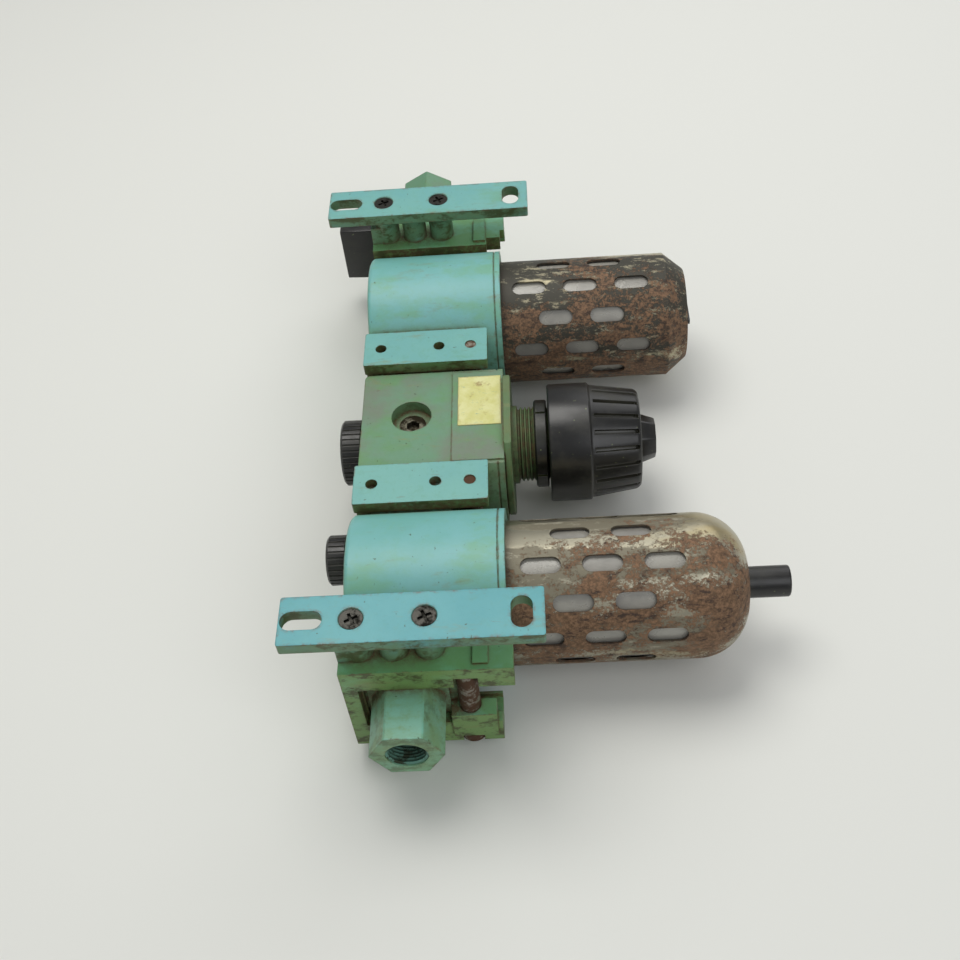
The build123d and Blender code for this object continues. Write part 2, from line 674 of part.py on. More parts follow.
def end_yoke(joint_x, side):
    """Yoke with a full frame on its outer side and a bolt ear in front."""
    shape = yoke_web(WEB_HALF_X, END_JAW_BOTTOM + 2)
    wall_start = WEB_HALF_X + 0.6
    shape += block(0, JAW_HALF_X, AXIS_Y - YOKE_HALF_Y - 2, AXIS_Y + YOKE_HALF_Y, END_JAW_BOTTOM, JAW_TOP)
    shape += block(-JAW_HALF_X, 0, JAW_OUTER_Y - JAW_THICKNESS, JAW_OUTER_Y, JAW_BOTTOM, JAW_TOP)
    shape -= block(wall_start, 20, AXIS_Y - 12.4, AXIS_Y + 12.4, -40, 22.4)
    shape -= block(-1, wall_start, AXIS_Y - NECK_HALF_Y - 0.2, AXIS_Y + NECK_HALF_Y + 0.2, -40,
                   PORT_Z + NECK_HALF_Z + 0.2)
    shape -= block(-20, 20, AXIS_Y - 6.8, AXIS_Y + 12.4, -40, PORT_Z - 15.2)
    shape -= block(-20, 20, AXIS_Y - 40, AXIS_Y - 6.8, -40, -28.0)
    shape += block(0, JAW_HALF_X + 1, EAR_FRONT_Y, AXIS_Y - 6, -26.2, -9.6)
    shape += block(-8, 8, JAW_OUTER_Y - 1, JAW_OUTER_Y + 1.2, JAW_BOTTOM + 0.5, JAW_BOTTOM + 6)
    shape -= lip_groove()
    shape -= cyl_y(BOLT_RADIUS, AXIS_Y - 30, JAW_OUTER_Y - 6, END_BOLT_SHIFT, END_BOLT_Z)
    shape -= cyl_y(BOLT_HEAD_RADIUS + 0.4, AXIS_Y - 30, EAR_FRONT_Y, END_BOLT_SHIFT, END_BOLT_Z)
    slot_half = BOLT_RADIUS + 0.4
    shape -= block(END_BOLT_SHIFT, 20, AXIS_Y, JAW_OUTER_Y - 6, END_BOLT_Z - slot_half, END_BOLT_Z + slot_half)
    for height in TAPPED_HOLES_Z:
        shape -= cyl_y(TAPPED_RADIUS, JAW_OUTER_Y - 4.2, JAW_OUTER_Y + 1, 0, height)
    if side < 0:
        shape = mirror(shape, about=Plane.YZ)
    return Pos(joint_x, 0, 0) * shape


def clamp_bolts():
    """One socket-head bolt per yoke, entered from the front."""
    end_top = JAW_OUTER_Y - 6
    middle_top = JAW_OUTER_Y - JAW_THICKNESS
    places = ((INLET_JOINT_X - END_BOLT_SHIFT, END_BOLT_Z, EAR_FRONT_Y, end_top),
              (-HALF_MODULE, BOLT_Z, AXIS_Y - YOKE_HALF_Y, middle_top),
              (HALF_MODULE, BOLT_Z, AXIS_Y - YOKE_HALF_Y, middle_top),
              (OUTLET_JOINT_X + END_BOLT_SHIFT, END_BOLT_Z, EAR_FRONT_Y, end_top))
    bolts = []
    for x, z, seat, top in places:
        bolt = cyl_y(BOLT_RADIUS, seat, top, x, z) + cyl_y(BOLT_HEAD_RADIUS, seat - 5.0, seat, x, z)
        if top == middle_top:
            bolt += cyl_y(BOLT_THREAD_RADIUS, top, JAW_OUTER_Y - 0.4, x, z)
        socket = extrude(RegularPolygon(2.5, 6, major_radius=False), 3.2, both=True)
        bolts.append(bolt - Pos(x, seat - 5.0, z) * Rot(90, 0, 0) * socket)
    return Compound(children=bolts)


def mounting_bar(joint_x):
    """Slotted wall bar on three posts, the top one with a lug."""
    bar = block(-BAR_WIDTH / 2, BAR_WIDTH / 2, -BAR_THICKNESS, 0, -BAR_LENGTH / 2, BAR_LENGTH / 2)
    bar = fillet(bar.edges().filter_by(Axis.Y), 1.0)
    for height in (*TAPPED_HOLES_Z, POST_MIDDLE_Z):
        bar += cyl_y(POST_RADIUS, JAW_OUTER_Y, -BAR_THICKNESS, 0, height)
    bar += block(-5, 5, JAW_OUTER_Y, JAW_OUTER_Y + 9, TAPPED_HOLES_Z[0], JAW_TOP)
    upper = extrude(SlotOverall(TOP_SLOT_LENGTH, 2 * SLOT_RADIUS), 20, both=True)
    lower = extrude(SlotOverall(BOTTOM_SLOT_LENGTH, 2 * SLOT_RADIUS), 20, both=True)
    bar -= Pos(0, 0, BAR_SLOT_Z) * Rot(0, 90, 0) * Rot(90, 0, 0) * upper
    bar -= Pos(0, 0, -BAR_SLOT_Z) * Rot(90, 0, 0) * lower
    for height in TAPPED_HOLES_Z:
        bar -= cyl_y(TAPPED_RADIUS, -25, 1, 0, height)
        cone = Pos(0, -1.5, height) * Rot(-90, 0, 0) * Cone(TAPPED_RADIUS, SCREW_HEAD_RADIUS, 3.0)
        bar -= cone
    return Pos(joint_x, 0, 0) * bar


def bar_screws():
    """Countersunk screws with a cross recess."""
    screws = []
    for joint in (INLET_JOINT_X, OUTLET_JOINT_X):
        for height in TAPPED_HOLES_Z:
            shank = cyl_y(TAPPED_RADIUS, JAW_OUTER_Y - 4.0, -3.0, joint, height)
            cone = Rot(-90, 0, 0) * Cone(TAPPED_RADIUS, SCREW_HEAD_RADIUS - 0.3, 2.7)
            screw = shank + Pos(joint, -1.65, height) * cone
            for turn in (25, 115):
                arm = Rot(0, turn, 0) * Box(5.0, 2.6, 1.1)
                screw -= Pos(joint, 0, height) * arm
            screws.append(screw)
    return Compound(children=screws)


NODES = {
    "shutoff_valve_body": shutoff_valve_body,
    "inlet_port_adapter": inlet_port_adapter,
    "shutoff_seats": shutoff_seats,
    "shutoff_ball": shutoff_ball,
    "shutoff_stem": shutoff_stem,
    "shutoff_handle": shutoff_handle,
    "filter_body": filter_body,
    "filter_deflector": filter_deflector,
    "filter_element": filter_element,
    "filter_baffle": filter_baffle,
    "element_stud": element_stud,
    "element_nut": element_nut,
    "filter_bowl": filter_bowl,
    "filter_bowl_seal": lambda: bowl_seal(FILTER_X),
    "filter_guard": filter_guard,
    "filter_drain": filter_drain,
    "regulator_body": regulator_body,
    "bonnet": bonnet,
    "ring_nut": ring_nut,
    "diaphragm": diaphragm,
    "diaphragm_plate": diaphragm_plate,
    "poppet_valve": poppet_valve,
    "valve_spring": valve_spring,
    "valve_cap": valve_cap,
    "range_spring": range_spring,
    "spring_seat": spring_seat,
    "adjusting_screw": adjusting_screw,
    "adjusting_knob": adjusting_knob,
    "knob_lock_cap": knob_lock_cap,
    "gauge_plugs": gauge_plugs,
    "rating_label": rating_label,
    "lubricator_body": lubricator_body,
    "venturi_insert": venturi_insert,
    "siphon_tube": siphon_tube,
    "sight_dome": sight_dome,
    "drip_tube": drip_tube,
    "feed_knob": feed_knob,
    "lubricator_bowl": lubricator_bowl,
    "lubricator_bowl_seal": lambda: bowl_seal(LUBRICATOR_X),
    "lubricator_guard": lubricator_guard,
    "lubricator_drain": lubricator_drain,
    "drain_spring": drain_spring,
    "outlet_adapter": outlet_adapter,
    "flange_seals": flange_seals,
    "inlet_clamp_yoke": lambda: end_yoke(INLET_JOINT_X, -1),
    "filter_clamp_yoke": lambda: middle_yoke(-HALF_MODULE),
    "lubricator_clamp_yoke": lambda: middle_yoke(HALF_MODULE),
    "outlet_clamp_yoke": lambda: end_yoke(OUTLET_JOINT_X, 1),
    "clamp_bolts": clamp_bolts,
    "inlet_mounting_bar": lambda: mounting_bar(INLET_JOINT_X),
    "outlet_mounting_bar": lambda: mounting_bar(OUTLET_JOINT_X),
    "bar_screws": bar_screws,
}

os.makedirs("parts", exist_ok=True)
for node_name, make in NODES.items():
    save(node_name, make())
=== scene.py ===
"""Filter regulator lubricator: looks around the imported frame."""

import json
import logging
import math
from dataclasses import dataclass, field
from enum import Enum
from typing import Any, Callable, Sequence

import bmesh
import bpy
from mathutils import Matrix, Vector


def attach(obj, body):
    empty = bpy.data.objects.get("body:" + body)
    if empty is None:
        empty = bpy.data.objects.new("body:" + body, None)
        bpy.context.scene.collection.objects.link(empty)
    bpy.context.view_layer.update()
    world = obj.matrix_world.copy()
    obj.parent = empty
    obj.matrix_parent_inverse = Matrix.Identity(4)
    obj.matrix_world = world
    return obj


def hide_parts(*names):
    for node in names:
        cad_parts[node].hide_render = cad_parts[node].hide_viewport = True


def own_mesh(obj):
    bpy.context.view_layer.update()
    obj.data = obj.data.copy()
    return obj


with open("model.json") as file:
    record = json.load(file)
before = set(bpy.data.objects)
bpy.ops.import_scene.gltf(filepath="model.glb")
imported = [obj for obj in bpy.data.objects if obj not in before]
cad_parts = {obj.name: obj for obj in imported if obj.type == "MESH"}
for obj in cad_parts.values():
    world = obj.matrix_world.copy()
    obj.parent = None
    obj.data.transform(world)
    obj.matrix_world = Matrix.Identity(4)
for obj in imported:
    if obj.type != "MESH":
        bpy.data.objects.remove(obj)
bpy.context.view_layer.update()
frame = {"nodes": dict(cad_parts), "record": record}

LOG = logging.getLogger("air_set")
MM = 0.001
AXIS_Y = -44.0
LUBRICATOR_X = 77.0
BAR_X = 115.5
TABLE_Y = -77.4
WELD = 1e-7
FINE_TURN = 96


# ---------------------------------------------------------------- colour and node tools


def srgb(code: str) -> tuple[float, float, float, float]:
    """Turns an sRGB hex value to a linear colour.

    Args:
        code: Six hex digits, with or without a leading hash.

    Returns:
        Linear red, green, blue and an alpha of one.
    """
    digits = code.lstrip("#")
    channels = [int(digits[i : i + 2], 16) / 255 for i in (0, 2, 4)]
    linear = [c / 12.92 if c <= 0.04045 else ((c + 0.055) / 1.055) ** 2.4 for c in channels]
    return (linear[0], linear[1], linear[2], 1.0)


def add_node(
    tree: bpy.types.NodeTree,
    kind: str,
    settings: dict[str, Any] | None = None,
    inputs: dict[Any, Any] | None = None,
) -> bpy.types.Node:
    """Adds one node with its settings and links.

    Args:
        tree: The node tree to add to.
        kind: The node's type name.
        settings: Attributes to set; "stops" holds a colour ramp's positions and colours.
        inputs: Socket name or number to a value, or to another node's output socket.

    Returns:
        The new node.
    """
    node = tree.nodes.new(kind)
    for key, value in (settings or {}).items():
        if key == "stops":
            ramp = node.color_ramp
            while len(ramp.elements) < len(value):
                ramp.elements.new(0.5)
            for element, (position, colour) in zip(ramp.elements, value):
                element.position = position
                element.color = colour
        else:
            setattr(node, key, value)
    for key, value in (inputs or {}).items():
        if isinstance(value, bpy.types.NodeSocket):
            tree.links.new(value, node.inputs[key])
        else:
            node.inputs[key].default_value = value
    return node


class Recipe:
    """A material under construction, with the few patterns that all finishes share."""

    def __init__(self, name: str) -> None:
        """Starts an empty material of that name."""
        self.material = bpy.data.materials.new(name)
        self.material.use_nodes = True
        self.tree = self.material.node_tree
        self.tree.nodes.clear()
        coordinates = add_node(self.tree, "ShaderNodeTexCoord")
        self.place = coordinates.outputs["Object"]
        self.normal = coordinates.outputs["Normal"]

    def noise(
        self,
        size_mm: float,
        detail: float = 4.0,
        rough: float = 0.55,
        stretch: Sequence[float] = (1, 1, 1),
        shift: float = 0.0,
    ) -> bpy.types.NodeSocket:
        """Cloudy pattern with features of a real size.

        Args:
            size_mm: Size of the largest features.
            detail: Octaves.
            rough: Strength of the finer octaves.
            stretch: How many times longer the features are along each axis.
            shift: Moves the pattern, in metres, so that two patterns differ.

        Returns:
            The pattern's value, about 0.3 to 0.7.
        """
        scale = [1 / s for s in stretch]
        mapped = add_node(
            self.tree,
            "ShaderNodeMapping",
            None,
            {"Vector": self.place, "Location": (shift, shift * 0.7, -shift), "Scale": scale},
        )
        node = add_node(
            self.tree,
            "ShaderNodeTexNoise",
            None,
            {
                "Vector": mapped.outputs[0],
                "Scale": 1 / (size_mm * MM),
                "Detail": detail,
                "Roughness": rough,
            },
        )
        return node.outputs["Fac"]

    def window(self, value: Any, low: float, high: float) -> bpy.types.NodeSocket:
        """Smooth step from 0 at low to 1 at high; low may be above high."""
        node = add_node(
            self.tree,
            "ShaderNodeMapRange",
            {"interpolation_type": "SMOOTHSTEP"},
            {"Value": value, "From Min": low, "From Max": high},
        )
        return node.outputs[0]

    def maths(self, operation: str, first: Any, second: Any = 0.0) -> bpy.types.NodeSocket:
        """Combines two values, kept between 0 and 1."""
        node = add_node(
            self.tree,
            "ShaderNodeMath",
            {"operation": operation, "use_clamp": True},
            {0: first, 1: second},
        )
        return node.outputs[0]

    def mix(self, amount: Any, under: Any, over: Any) -> bpy.types.NodeSocket:
        """Lays one colour over another by an amount."""
        node = add_node(
            self.tree, "ShaderNodeMixRGB", None, {"Fac": amount, "Color1": under, "Color2": over}
        )
        return node.outputs["Color"]

    def shaded_side(self) -> bpy.types.NodeSocket:
        """Mask for painted shade on the sides: 1 on faces that look up, down or along the row, 0 on
        those toward the wall or away.
        """
        axes = add_node(self.tree, "ShaderNodeSeparateXYZ", None, {0: self.normal})
        depth = add_node(
            self.tree, "ShaderNodeMath", {"operation": "ABSOLUTE"}, {0: axes.outputs["Y"]}
        )
        return self.window(depth.outputs[0], 0.80, 0.35)

    def crevice(self, reach_mm: float) -> bpy.types.NodeSocket:
        """Occlusion mask for painted shade and for patina and dust in hollows: 1 in corners and
        gaps, 0 in the open and on the front, which the table would darken.
        """
        node = add_node(
            self.tree, "ShaderNodeAmbientOcclusion", {"samples": 6}, {"Distance": reach_mm * MM}
        )
        axes = add_node(self.tree, "ShaderNodeSeparateXYZ", None, {0: self.normal})
        off_table = self.window(axes.outputs["Y"], -0.5, -0.05)
        return self.maths("MULTIPLY", self.window(node.outputs["AO"], 0.92, 0.35), off_table)

    def edge(self, radius_mm: float) -> bpy.types.NodeSocket:
        """1 along sharp edges, 0 on flat ground."""
        round_normal = add_node(
            self.tree, "ShaderNodeBevel", {"samples": 4}, {"Radius": radius_mm * MM}
        )
        true_normal = add_node(self.tree, "ShaderNodeNewGeometry").outputs["Normal"]
        dot = add_node(
            self.tree,
            "ShaderNodeVectorMath",
            {"operation": "DOT_PRODUCT"},
            {0: round_normal.outputs[0], 1: true_normal},
        )
        return self.window(dot.outputs["Value"], 0.985, 0.86)

    def relief(self, height: Any, depth_mm: float, edge_mm: float = 0.0) -> bpy.types.NodeSocket:
        """Small relief, on edges that look slightly rounded."""
        inputs: dict[Any, Any] = {"Height": height, "Distance": depth_mm * MM, "Strength": 1.0}
        if edge_mm:
            rounded = add_node(
                self.tree, "ShaderNodeBevel", {"samples": 4}, {"Radius": edge_mm * MM}
            )
            inputs["Normal"] = rounded.outputs[0]
        return add_node(self.tree, "ShaderNodeBump", None, inputs).outputs[0]

    def close(self, **sockets: Any) -> bpy.types.Material:
        """Joins everything in one surface shader.

        Args:
            sockets: Shader inputs, with underscores for spaces.

        Returns:
            The finished material.
        """
        inputs = {name.replace("_", " "): value for name, value in sockets.items()}
        shader = add_node(self.tree, "ShaderNodeBsdfPrincipled", None, inputs)
        add_node(
            self.tree, "ShaderNodeOutputMaterial", None, {"Surface": shader.outputs["BSDF"]}
        )
        return self.material


# ---------------------------------------------------------------- finishes


@dataclass(frozen=True)
class WornPaint:
    """Sprayed alkyd enamel on die-cast metal: soft satin sheen, oil stains, chipped edges, painted
    shade in gaps and on the side faces.
    """

    name: str
    body: str
    second: str
    green: str
    # painted shade with dirt: the colour laid into crevices and gaps
    gap_dirt_and_shade: str = "#5c4a2e"
    bare: str = "#6e4f36"
    patina: float = 0.5
    dirt_and_gap_shade: float = 0.6
    chips: float = 0.5
    # painted shade: how much the side faces are darkened, their darker green, and the dark olive of
    # the oil patches there
    side: float = 0.35
    side_shade_green: str = "#628a58"
    side_oil_and_shade: str = "#454c27"
    reach: float = 9.0
    wear_mm: float = 1.2

    def make(self) -> bpy.types.Material:
        """Builds the enamel.

        Returns:
            The material.
        """
        mix = Recipe(self.name)
        clouds = mix.noise(38, 5, 0.6)
        drift = mix.noise(16, 7, 0.62, (1, 1, 1.8), 0.31)
        fine = mix.noise(2.4, 6, 0.7, shift=0.12)
        gaps = mix.crevice(self.reach)
        tone = mix.mix(mix.window(clouds, 0.38, 0.62), srgb(self.body), srgb(self.second))
        low = 0.62 - 0.22 * self.patina
        patch = mix.window(drift, low, low + 0.16)
        lime = mix.maths("MULTIPLY", patch, 0.75)
        around = mix.maths("MULTIPLY", gaps, mix.window(drift, 0.30, 0.55))
        tone = mix.mix(mix.maths("MAXIMUM", lime, around), tone, srgb(self.green))
        # painted shade: faces that look up, down or along the row turn a darker green
        shaded_side = mix.maths("MULTIPLY", mix.shaded_side(), self.side)
        side_shade_patch = mix.maths("MULTIPLY", shaded_side, mix.window(drift, 0.20, 0.48))
        tone = mix.mix(side_shade_patch, tone, srgb(self.side_shade_green))
        wipe = mix.window(mix.noise(9, 9, 0.72, (1, 1, 3.2), 0.55), 0.56, 0.70)
        tone = mix.mix(mix.maths("MULTIPLY", wipe, 0.55 * self.dirt_and_gap_shade), tone, srgb("#7c7a45"))
        mottle = mix.window(mix.noise(3.2, 10, 0.78, shift=0.47), 0.50, 0.64)
        tone = mix.mix(mix.maths("MULTIPLY", mottle, 0.30 * self.dirt_and_gap_shade), tone, srgb(self.green))
        tone = mix.mix(mix.maths("MULTIPLY", fine, 0.10), tone, srgb("#9fd0c8"))
        scratch = mix.window(mix.noise(2.6, 11, 0.82, (1, 1, 4.5), 0.38), 0.615, 0.65)
        tone = mix.mix(mix.maths("MULTIPLY", scratch, 0.55 * self.chips), tone, srgb(self.bare))
        # painted shade with dirt: occluded corners and gaps take the gap colour
        packed_dirt_and_shade = mix.maths("MULTIPLY", mix.window(gaps, 0.45, 0.95), mix.window(fine, 0.25, 0.6))
        tone = mix.mix(mix.maths("MULTIPLY", packed_dirt_and_shade, self.dirt_and_gap_shade), tone, srgb(self.gap_dirt_and_shade))
        # painted shade with oil stains: dark olive patches on the side faces only
        oil = mix.window(mix.noise(6.5, 9, 0.74, (1, 1, 1.5), 0.61), 0.47, 0.60)
        tone = mix.mix(mix.maths("MULTIPLY", oil, shaded_side), tone, srgb(self.side_oil_and_shade))
        # painted shade: tight gaps such as thread roots darken towards the bare-metal colour
        tight_gap_shade = mix.maths("MULTIPLY", mix.crevice(1.8), mix.window(fine, 0.42, 0.60))
        tone = mix.mix(mix.maths("MULTIPLY", tight_gap_shade, 0.45), tone, srgb(self.bare))
        specks = mix.window(mix.noise(1.6, 3, 0.5, shift=0.9), 0.70, 0.76)
        tone = mix.mix(mix.maths("MULTIPLY", specks, 0.8), tone, srgb("#3d4a2c"))
        break_up = mix.window(mix.noise(4.2, 9, 0.75, shift=0.21), 0.58 - 0.12 * self.chips, 0.62)
        worn = mix.maths("MULTIPLY", mix.edge(self.wear_mm), break_up)
        tone = mix.mix(worn, tone, srgb(self.bare))
        satin = mix.maths("ADD", mix.maths("MULTIPLY", fine, 0.22), 0.30)
        dull = mix.maths("ADD", satin, mix.maths("MULTIPLY", gaps, 0.35))
        height = mix.maths("SUBTRACT", mix.maths("MULTIPLY", fine, 0.6), worn)
        return mix.close(
            Base_Color=tone,
            Roughness=dull,
            IOR=1.5,
            Specular_IOR_Level=0.45,
            Normal=mix.relief(height, 0.09, 0.5),
        )


@dataclass(frozen=True)
class RustedSheet:
    """Plated pressed steel: dull shine where the plating holds, rust and film elsewhere, painted
    shade in gaps and slots.
    """

    name: str
    plate: str
    film: str
    rust: str
    film_share: float
    rust_share: float
    lean_from: float = 0.0
    lean_to: float = 1.0

    def make(self) -> bpy.types.Material:
        """Builds the sheet.

        Returns:
            The material.
        """
        mix = Recipe(self.name)
        bands = mix.noise(20, 3, 0.5, (1, 1, 7.0), 0.4)
        patches = mix.noise(17, 10, 0.72, (1, 1, 1.6), 0.13)
        speckle = mix.noise(1.5, 8, 0.8, shift=0.77)
        scuff = mix.noise(3.0, 10, 0.78, (1, 1, 2.0), 0.6)
        grain = mix.noise(0.5, 4, 0.6, (1, 1, 6.0))
        blotch = mix.maths(
            "ADD", mix.maths("MULTIPLY", patches, 0.62), mix.maths("MULTIPLY", speckle, 0.38)
        )
        across = add_node(mix.tree, "ShaderNodeSeparateXYZ", None, {0: mix.place}).outputs["X"]
        lean = mix.window(across, self.lean_from * MM, self.lean_to * MM)
        blotch = mix.maths("ADD", blotch, mix.maths("MULTIPLY", lean, 0.075))
        low = 0.60 - 0.2 * self.rust_share
        rust = mix.window(blotch, low, low + 0.05)
        shade = mix.mix(mix.window(speckle, 0.42, 0.60), srgb(self.rust), srgb("#86664b"))
        shade = mix.mix(mix.window(scuff, 0.50, 0.62), shade, srgb("#38281e"))
        edge_low = 0.64 - 0.3 * self.film_share
        spread = mix.maths(
            "ADD", mix.maths("MULTIPLY", bands, 0.8), mix.maths("MULTIPLY", scuff, 0.2)
        )
        film = mix.window(spread, edge_low, edge_low + 0.035)
        gold = mix.window(mix.noise(30, 4, 0.6, (1, 1, 2), 0.85), 0.55, 0.72)
        plate = mix.mix(mix.maths("MULTIPLY", gold, 0.5), srgb(self.plate), srgb("#a8914f"))
        tone = mix.mix(film, plate, srgb(self.film))
        cream = mix.window(mix.noise(4.5, 10, 0.8, (1, 1, 2.6), 0.92), 0.55, 0.60)
        bare = mix.maths("MULTIPLY", mix.maths("MULTIPLY", cream, film), 0.75)
        tone = mix.mix(bare, tone, srgb(self.plate))
        tone = mix.mix(rust, tone, shade)
        # painted shade: gaps and slots darken towards dark brown
        gaps = mix.crevice(7.0)
        tone = mix.mix(mix.maths("MULTIPLY", gaps, 0.75), tone, srgb("#33261c"))
        covered = mix.maths("MAXIMUM", rust, mix.maths("MULTIPLY", film, 0.6))
        shine = mix.maths("SUBTRACT", 0.85, covered)
        coarse = mix.maths("ADD", 0.30, mix.maths("MULTIPLY", covered, 0.42))
        crust = mix.maths("MULTIPLY", mix.maths("MULTIPLY", speckle, rust), 0.5)
        height = mix.maths("ADD", mix.maths("MULTIPLY", rust, 0.5), crust)
        height = mix.maths("ADD", height, mix.maths("MULTIPLY", grain, 0.05))
        return mix.close(
            Base_Color=tone,
            Metallic=shine,
            Roughness=coarse,
            Normal=mix.relief(height, 0.10, 0.4),
        )


@dataclass(frozen=True)
class MouldedPlastic:
    """Injection-moulded nylon: fine spark-eroded skin, a satin sheen and dust in the corners, which
    on the white acetal is painted shade.
    """

    name: str
    colour: str
    dust: str = "#4b4a3c"
    gloss: float = 0.36
    dirt_and_gap_shade: float = 0.5

    def make(self) -> bpy.types.Material:
        """Builds the plastic.

        Returns:
            The material.
        """
        mix = Recipe(self.name)
        skin = mix.noise(0.45, 3, 0.6)
        smear = mix.noise(13, 7, 0.65, shift=0.35)
        gaps = mix.crevice(3.5)
        haze = mix.maths("MULTIPLY", mix.window(smear, 0.45, 0.7), 0.22)
        tone = mix.mix(haze, srgb(self.colour), srgb(self.dust))
        # dust colour in corners and gaps; where it is darker than the plastic, as on the white
        # acetal, this is painted shade
        tone = mix.mix(mix.maths("MULTIPLY", gaps, self.dirt_and_gap_shade), tone, srgb(self.dust))
        specks = mix.window(mix.noise(1.3, 2, 0.5, shift=0.5), 0.71, 0.76)
        tone = mix.mix(mix.maths("MULTIPLY", specks, self.dirt_and_gap_shade), tone, srgb("#7d8a5a"))
        rub = mix.maths("MULTIPLY", mix.edge(0.7), mix.window(smear, 0.35, 0.6))
        tone = mix.mix(mix.maths("MULTIPLY", rub, 0.35), tone, srgb("#6a6a66"))
        dulled = mix.maths("MULTIPLY", mix.window(smear, 0.35, 0.75), 0.22)
        rough = mix.maths("ADD", self.gloss, dulled)
        return mix.close(
            Base_Color=tone,
            Roughness=rough,
            IOR=1.53,
            Normal=mix.relief(skin, 0.02, 0.35),
        )


@dataclass(frozen=True)
class CloudedPolycarbonate:
    """Blown clear plastic gone grey and milky with oil mist."""

    name: str
    tint: str
    mist: str
    see_through: float
    rough: float

    def make(self) -> bpy.types.Material:
        """Builds the plastic.

        Returns:
            The material.
        """
        mix = Recipe(self.name)
        fog = mix.window(mix.noise(14, 5, 0.6, (1, 1, 1.5), 0.2), 0.35, 0.7)
        tone = mix.mix(fog, srgb(self.tint), srgb(self.mist))
        drops = mix.noise(3.0, 4, 0.6)
        rough = mix.maths("ADD", self.rough, mix.maths("MULTIPLY", fog, 0.12))
        return mix.close(
            Base_Color=tone,
            Roughness=rough,
            IOR=1.585,
            Transmission_Weight=self.see_through,
            Normal=mix.relief(drops, 0.04),
        )


@dataclass(frozen=True)
class TurnedMetal:
    """Machined or drawn metal with fine tool lines, dulled by age, with stains and painted shade in
    its recesses.
    """

    name: str
    colour: str
    stain: str
    rough: float = 0.32
    stain_and_gap_shade: float = 0.4
    metallic: float = 1.0

    def make(self) -> bpy.types.Material:
        """Builds the metal.

        Returns:
            The material.
        """
        mix = Recipe(self.name)
        lines = mix.noise(0.4, 3, 0.5, (9, 9, 1))
        film = mix.noise(5, 9, 0.75, shift=0.44)
        low = 0.66 - 0.3 * self.stain_and_gap_shade
        stain = mix.window(film, low, low + 0.14)
        # painted shade with stains: recesses such as screw sockets take the stain colour
        gaps = mix.crevice(3.0)
        cover = mix.maths("MAXIMUM", stain, mix.maths("MULTIPLY", gaps, self.stain_and_gap_shade))
        tone = mix.mix(cover, srgb(self.colour), srgb(self.stain))
        rough = mix.maths("ADD", self.rough, mix.maths("MULTIPLY", cover, 0.35))
        return mix.close(
            Base_Color=tone,
            Metallic=self.metallic,
            Roughness=rough,
            Normal=mix.relief(lines, 0.015, 0.25),
        )


@dataclass(frozen=True)
class SoftRubber:
    """Moulded nitrile rubber: near black, with a faint bloom."""

    name: str
    colour: str = "#161616"

    def make(self) -> bpy.types.Material:
        """Builds the rubber.

        Returns:
            The material.
        """
        mix = Recipe(self.name)
        bloom = mix.window(mix.noise(6, 5, 0.6), 0.45, 0.75)
        tone = mix.mix(mix.maths("MULTIPLY", bloom, 0.3), srgb(self.colour), srgb("#3a3a38"))
        rough = mix.maths("ADD", 0.5, mix.maths("MULTIPLY", bloom, 0.2))
        return mix.close(Base_Color=tone, Roughness=rough, IOR=1.52, Normal=mix.relief(bloom, 0.02))


@dataclass(frozen=True)
class SinteredBeads:
    """Sintered plastic beads: off-white, matt and open."""

    name: str
    colour: str = "#d8d2bf"

    def make(self) -> bpy.types.Material:
        """Builds the element's surface.

        Returns:
            The material.
        """
        mix = Recipe(self.name)
        beads = add_node(
            mix.tree, "ShaderNodeTexVoronoi", None, {"Vector": mix.place, "Scale": 1 / (0.8 * MM)}
        ).outputs["Distance"]
        tone = mix.mix(mix.window(beads, 0.3, 0.8), srgb(self.colour), srgb("#8f8872"))
        return mix.close(Base_Color=tone, Roughness=0.85, IOR=1.49, Normal=mix.relief(beads, 0.2))


@dataclass(frozen=True)
class FadedFilm:
    """Printed film whose print has faded away, scratched through to the paint."""

    name: str
    colour: str = "#cbc97c"

    def make(self) -> bpy.types.Material:
        """Builds the film.

        Returns:
            The material.
        """
        mix = Recipe(self.name)
        sun = mix.noise(9, 4, 0.6)
        tone = mix.mix(mix.window(sun, 0.35, 0.65), srgb(self.colour), srgb("#dad99e"))
        flecks = mix.window(mix.noise(1.2, 7, 0.8, (1, 1, 2.4), 0.3), 0.60, 0.66)
        tone = mix.mix(mix.maths("MULTIPLY", flecks, 0.85), tone, srgb("#6f9c8e"))
        stain = mix.window(mix.noise(5, 9, 0.74, shift=0.7), 0.54, 0.68)
        tone = mix.mix(mix.maths("MULTIPLY", stain, 0.8), tone, srgb("#8a6a33"))
        rim = mix.maths("MULTIPLY", mix.edge(1.0), mix.window(sun, 0.35, 0.6))
        tone = mix.mix(rim, tone, srgb("#8f7440"))
        rough = mix.maths("ADD", 0.42, mix.maths("MULTIPLY", flecks, 0.3))
        return mix.close(
            Base_Color=tone, Roughness=rough, IOR=1.5, Normal=mix.relief(flecks, -0.03)
        )


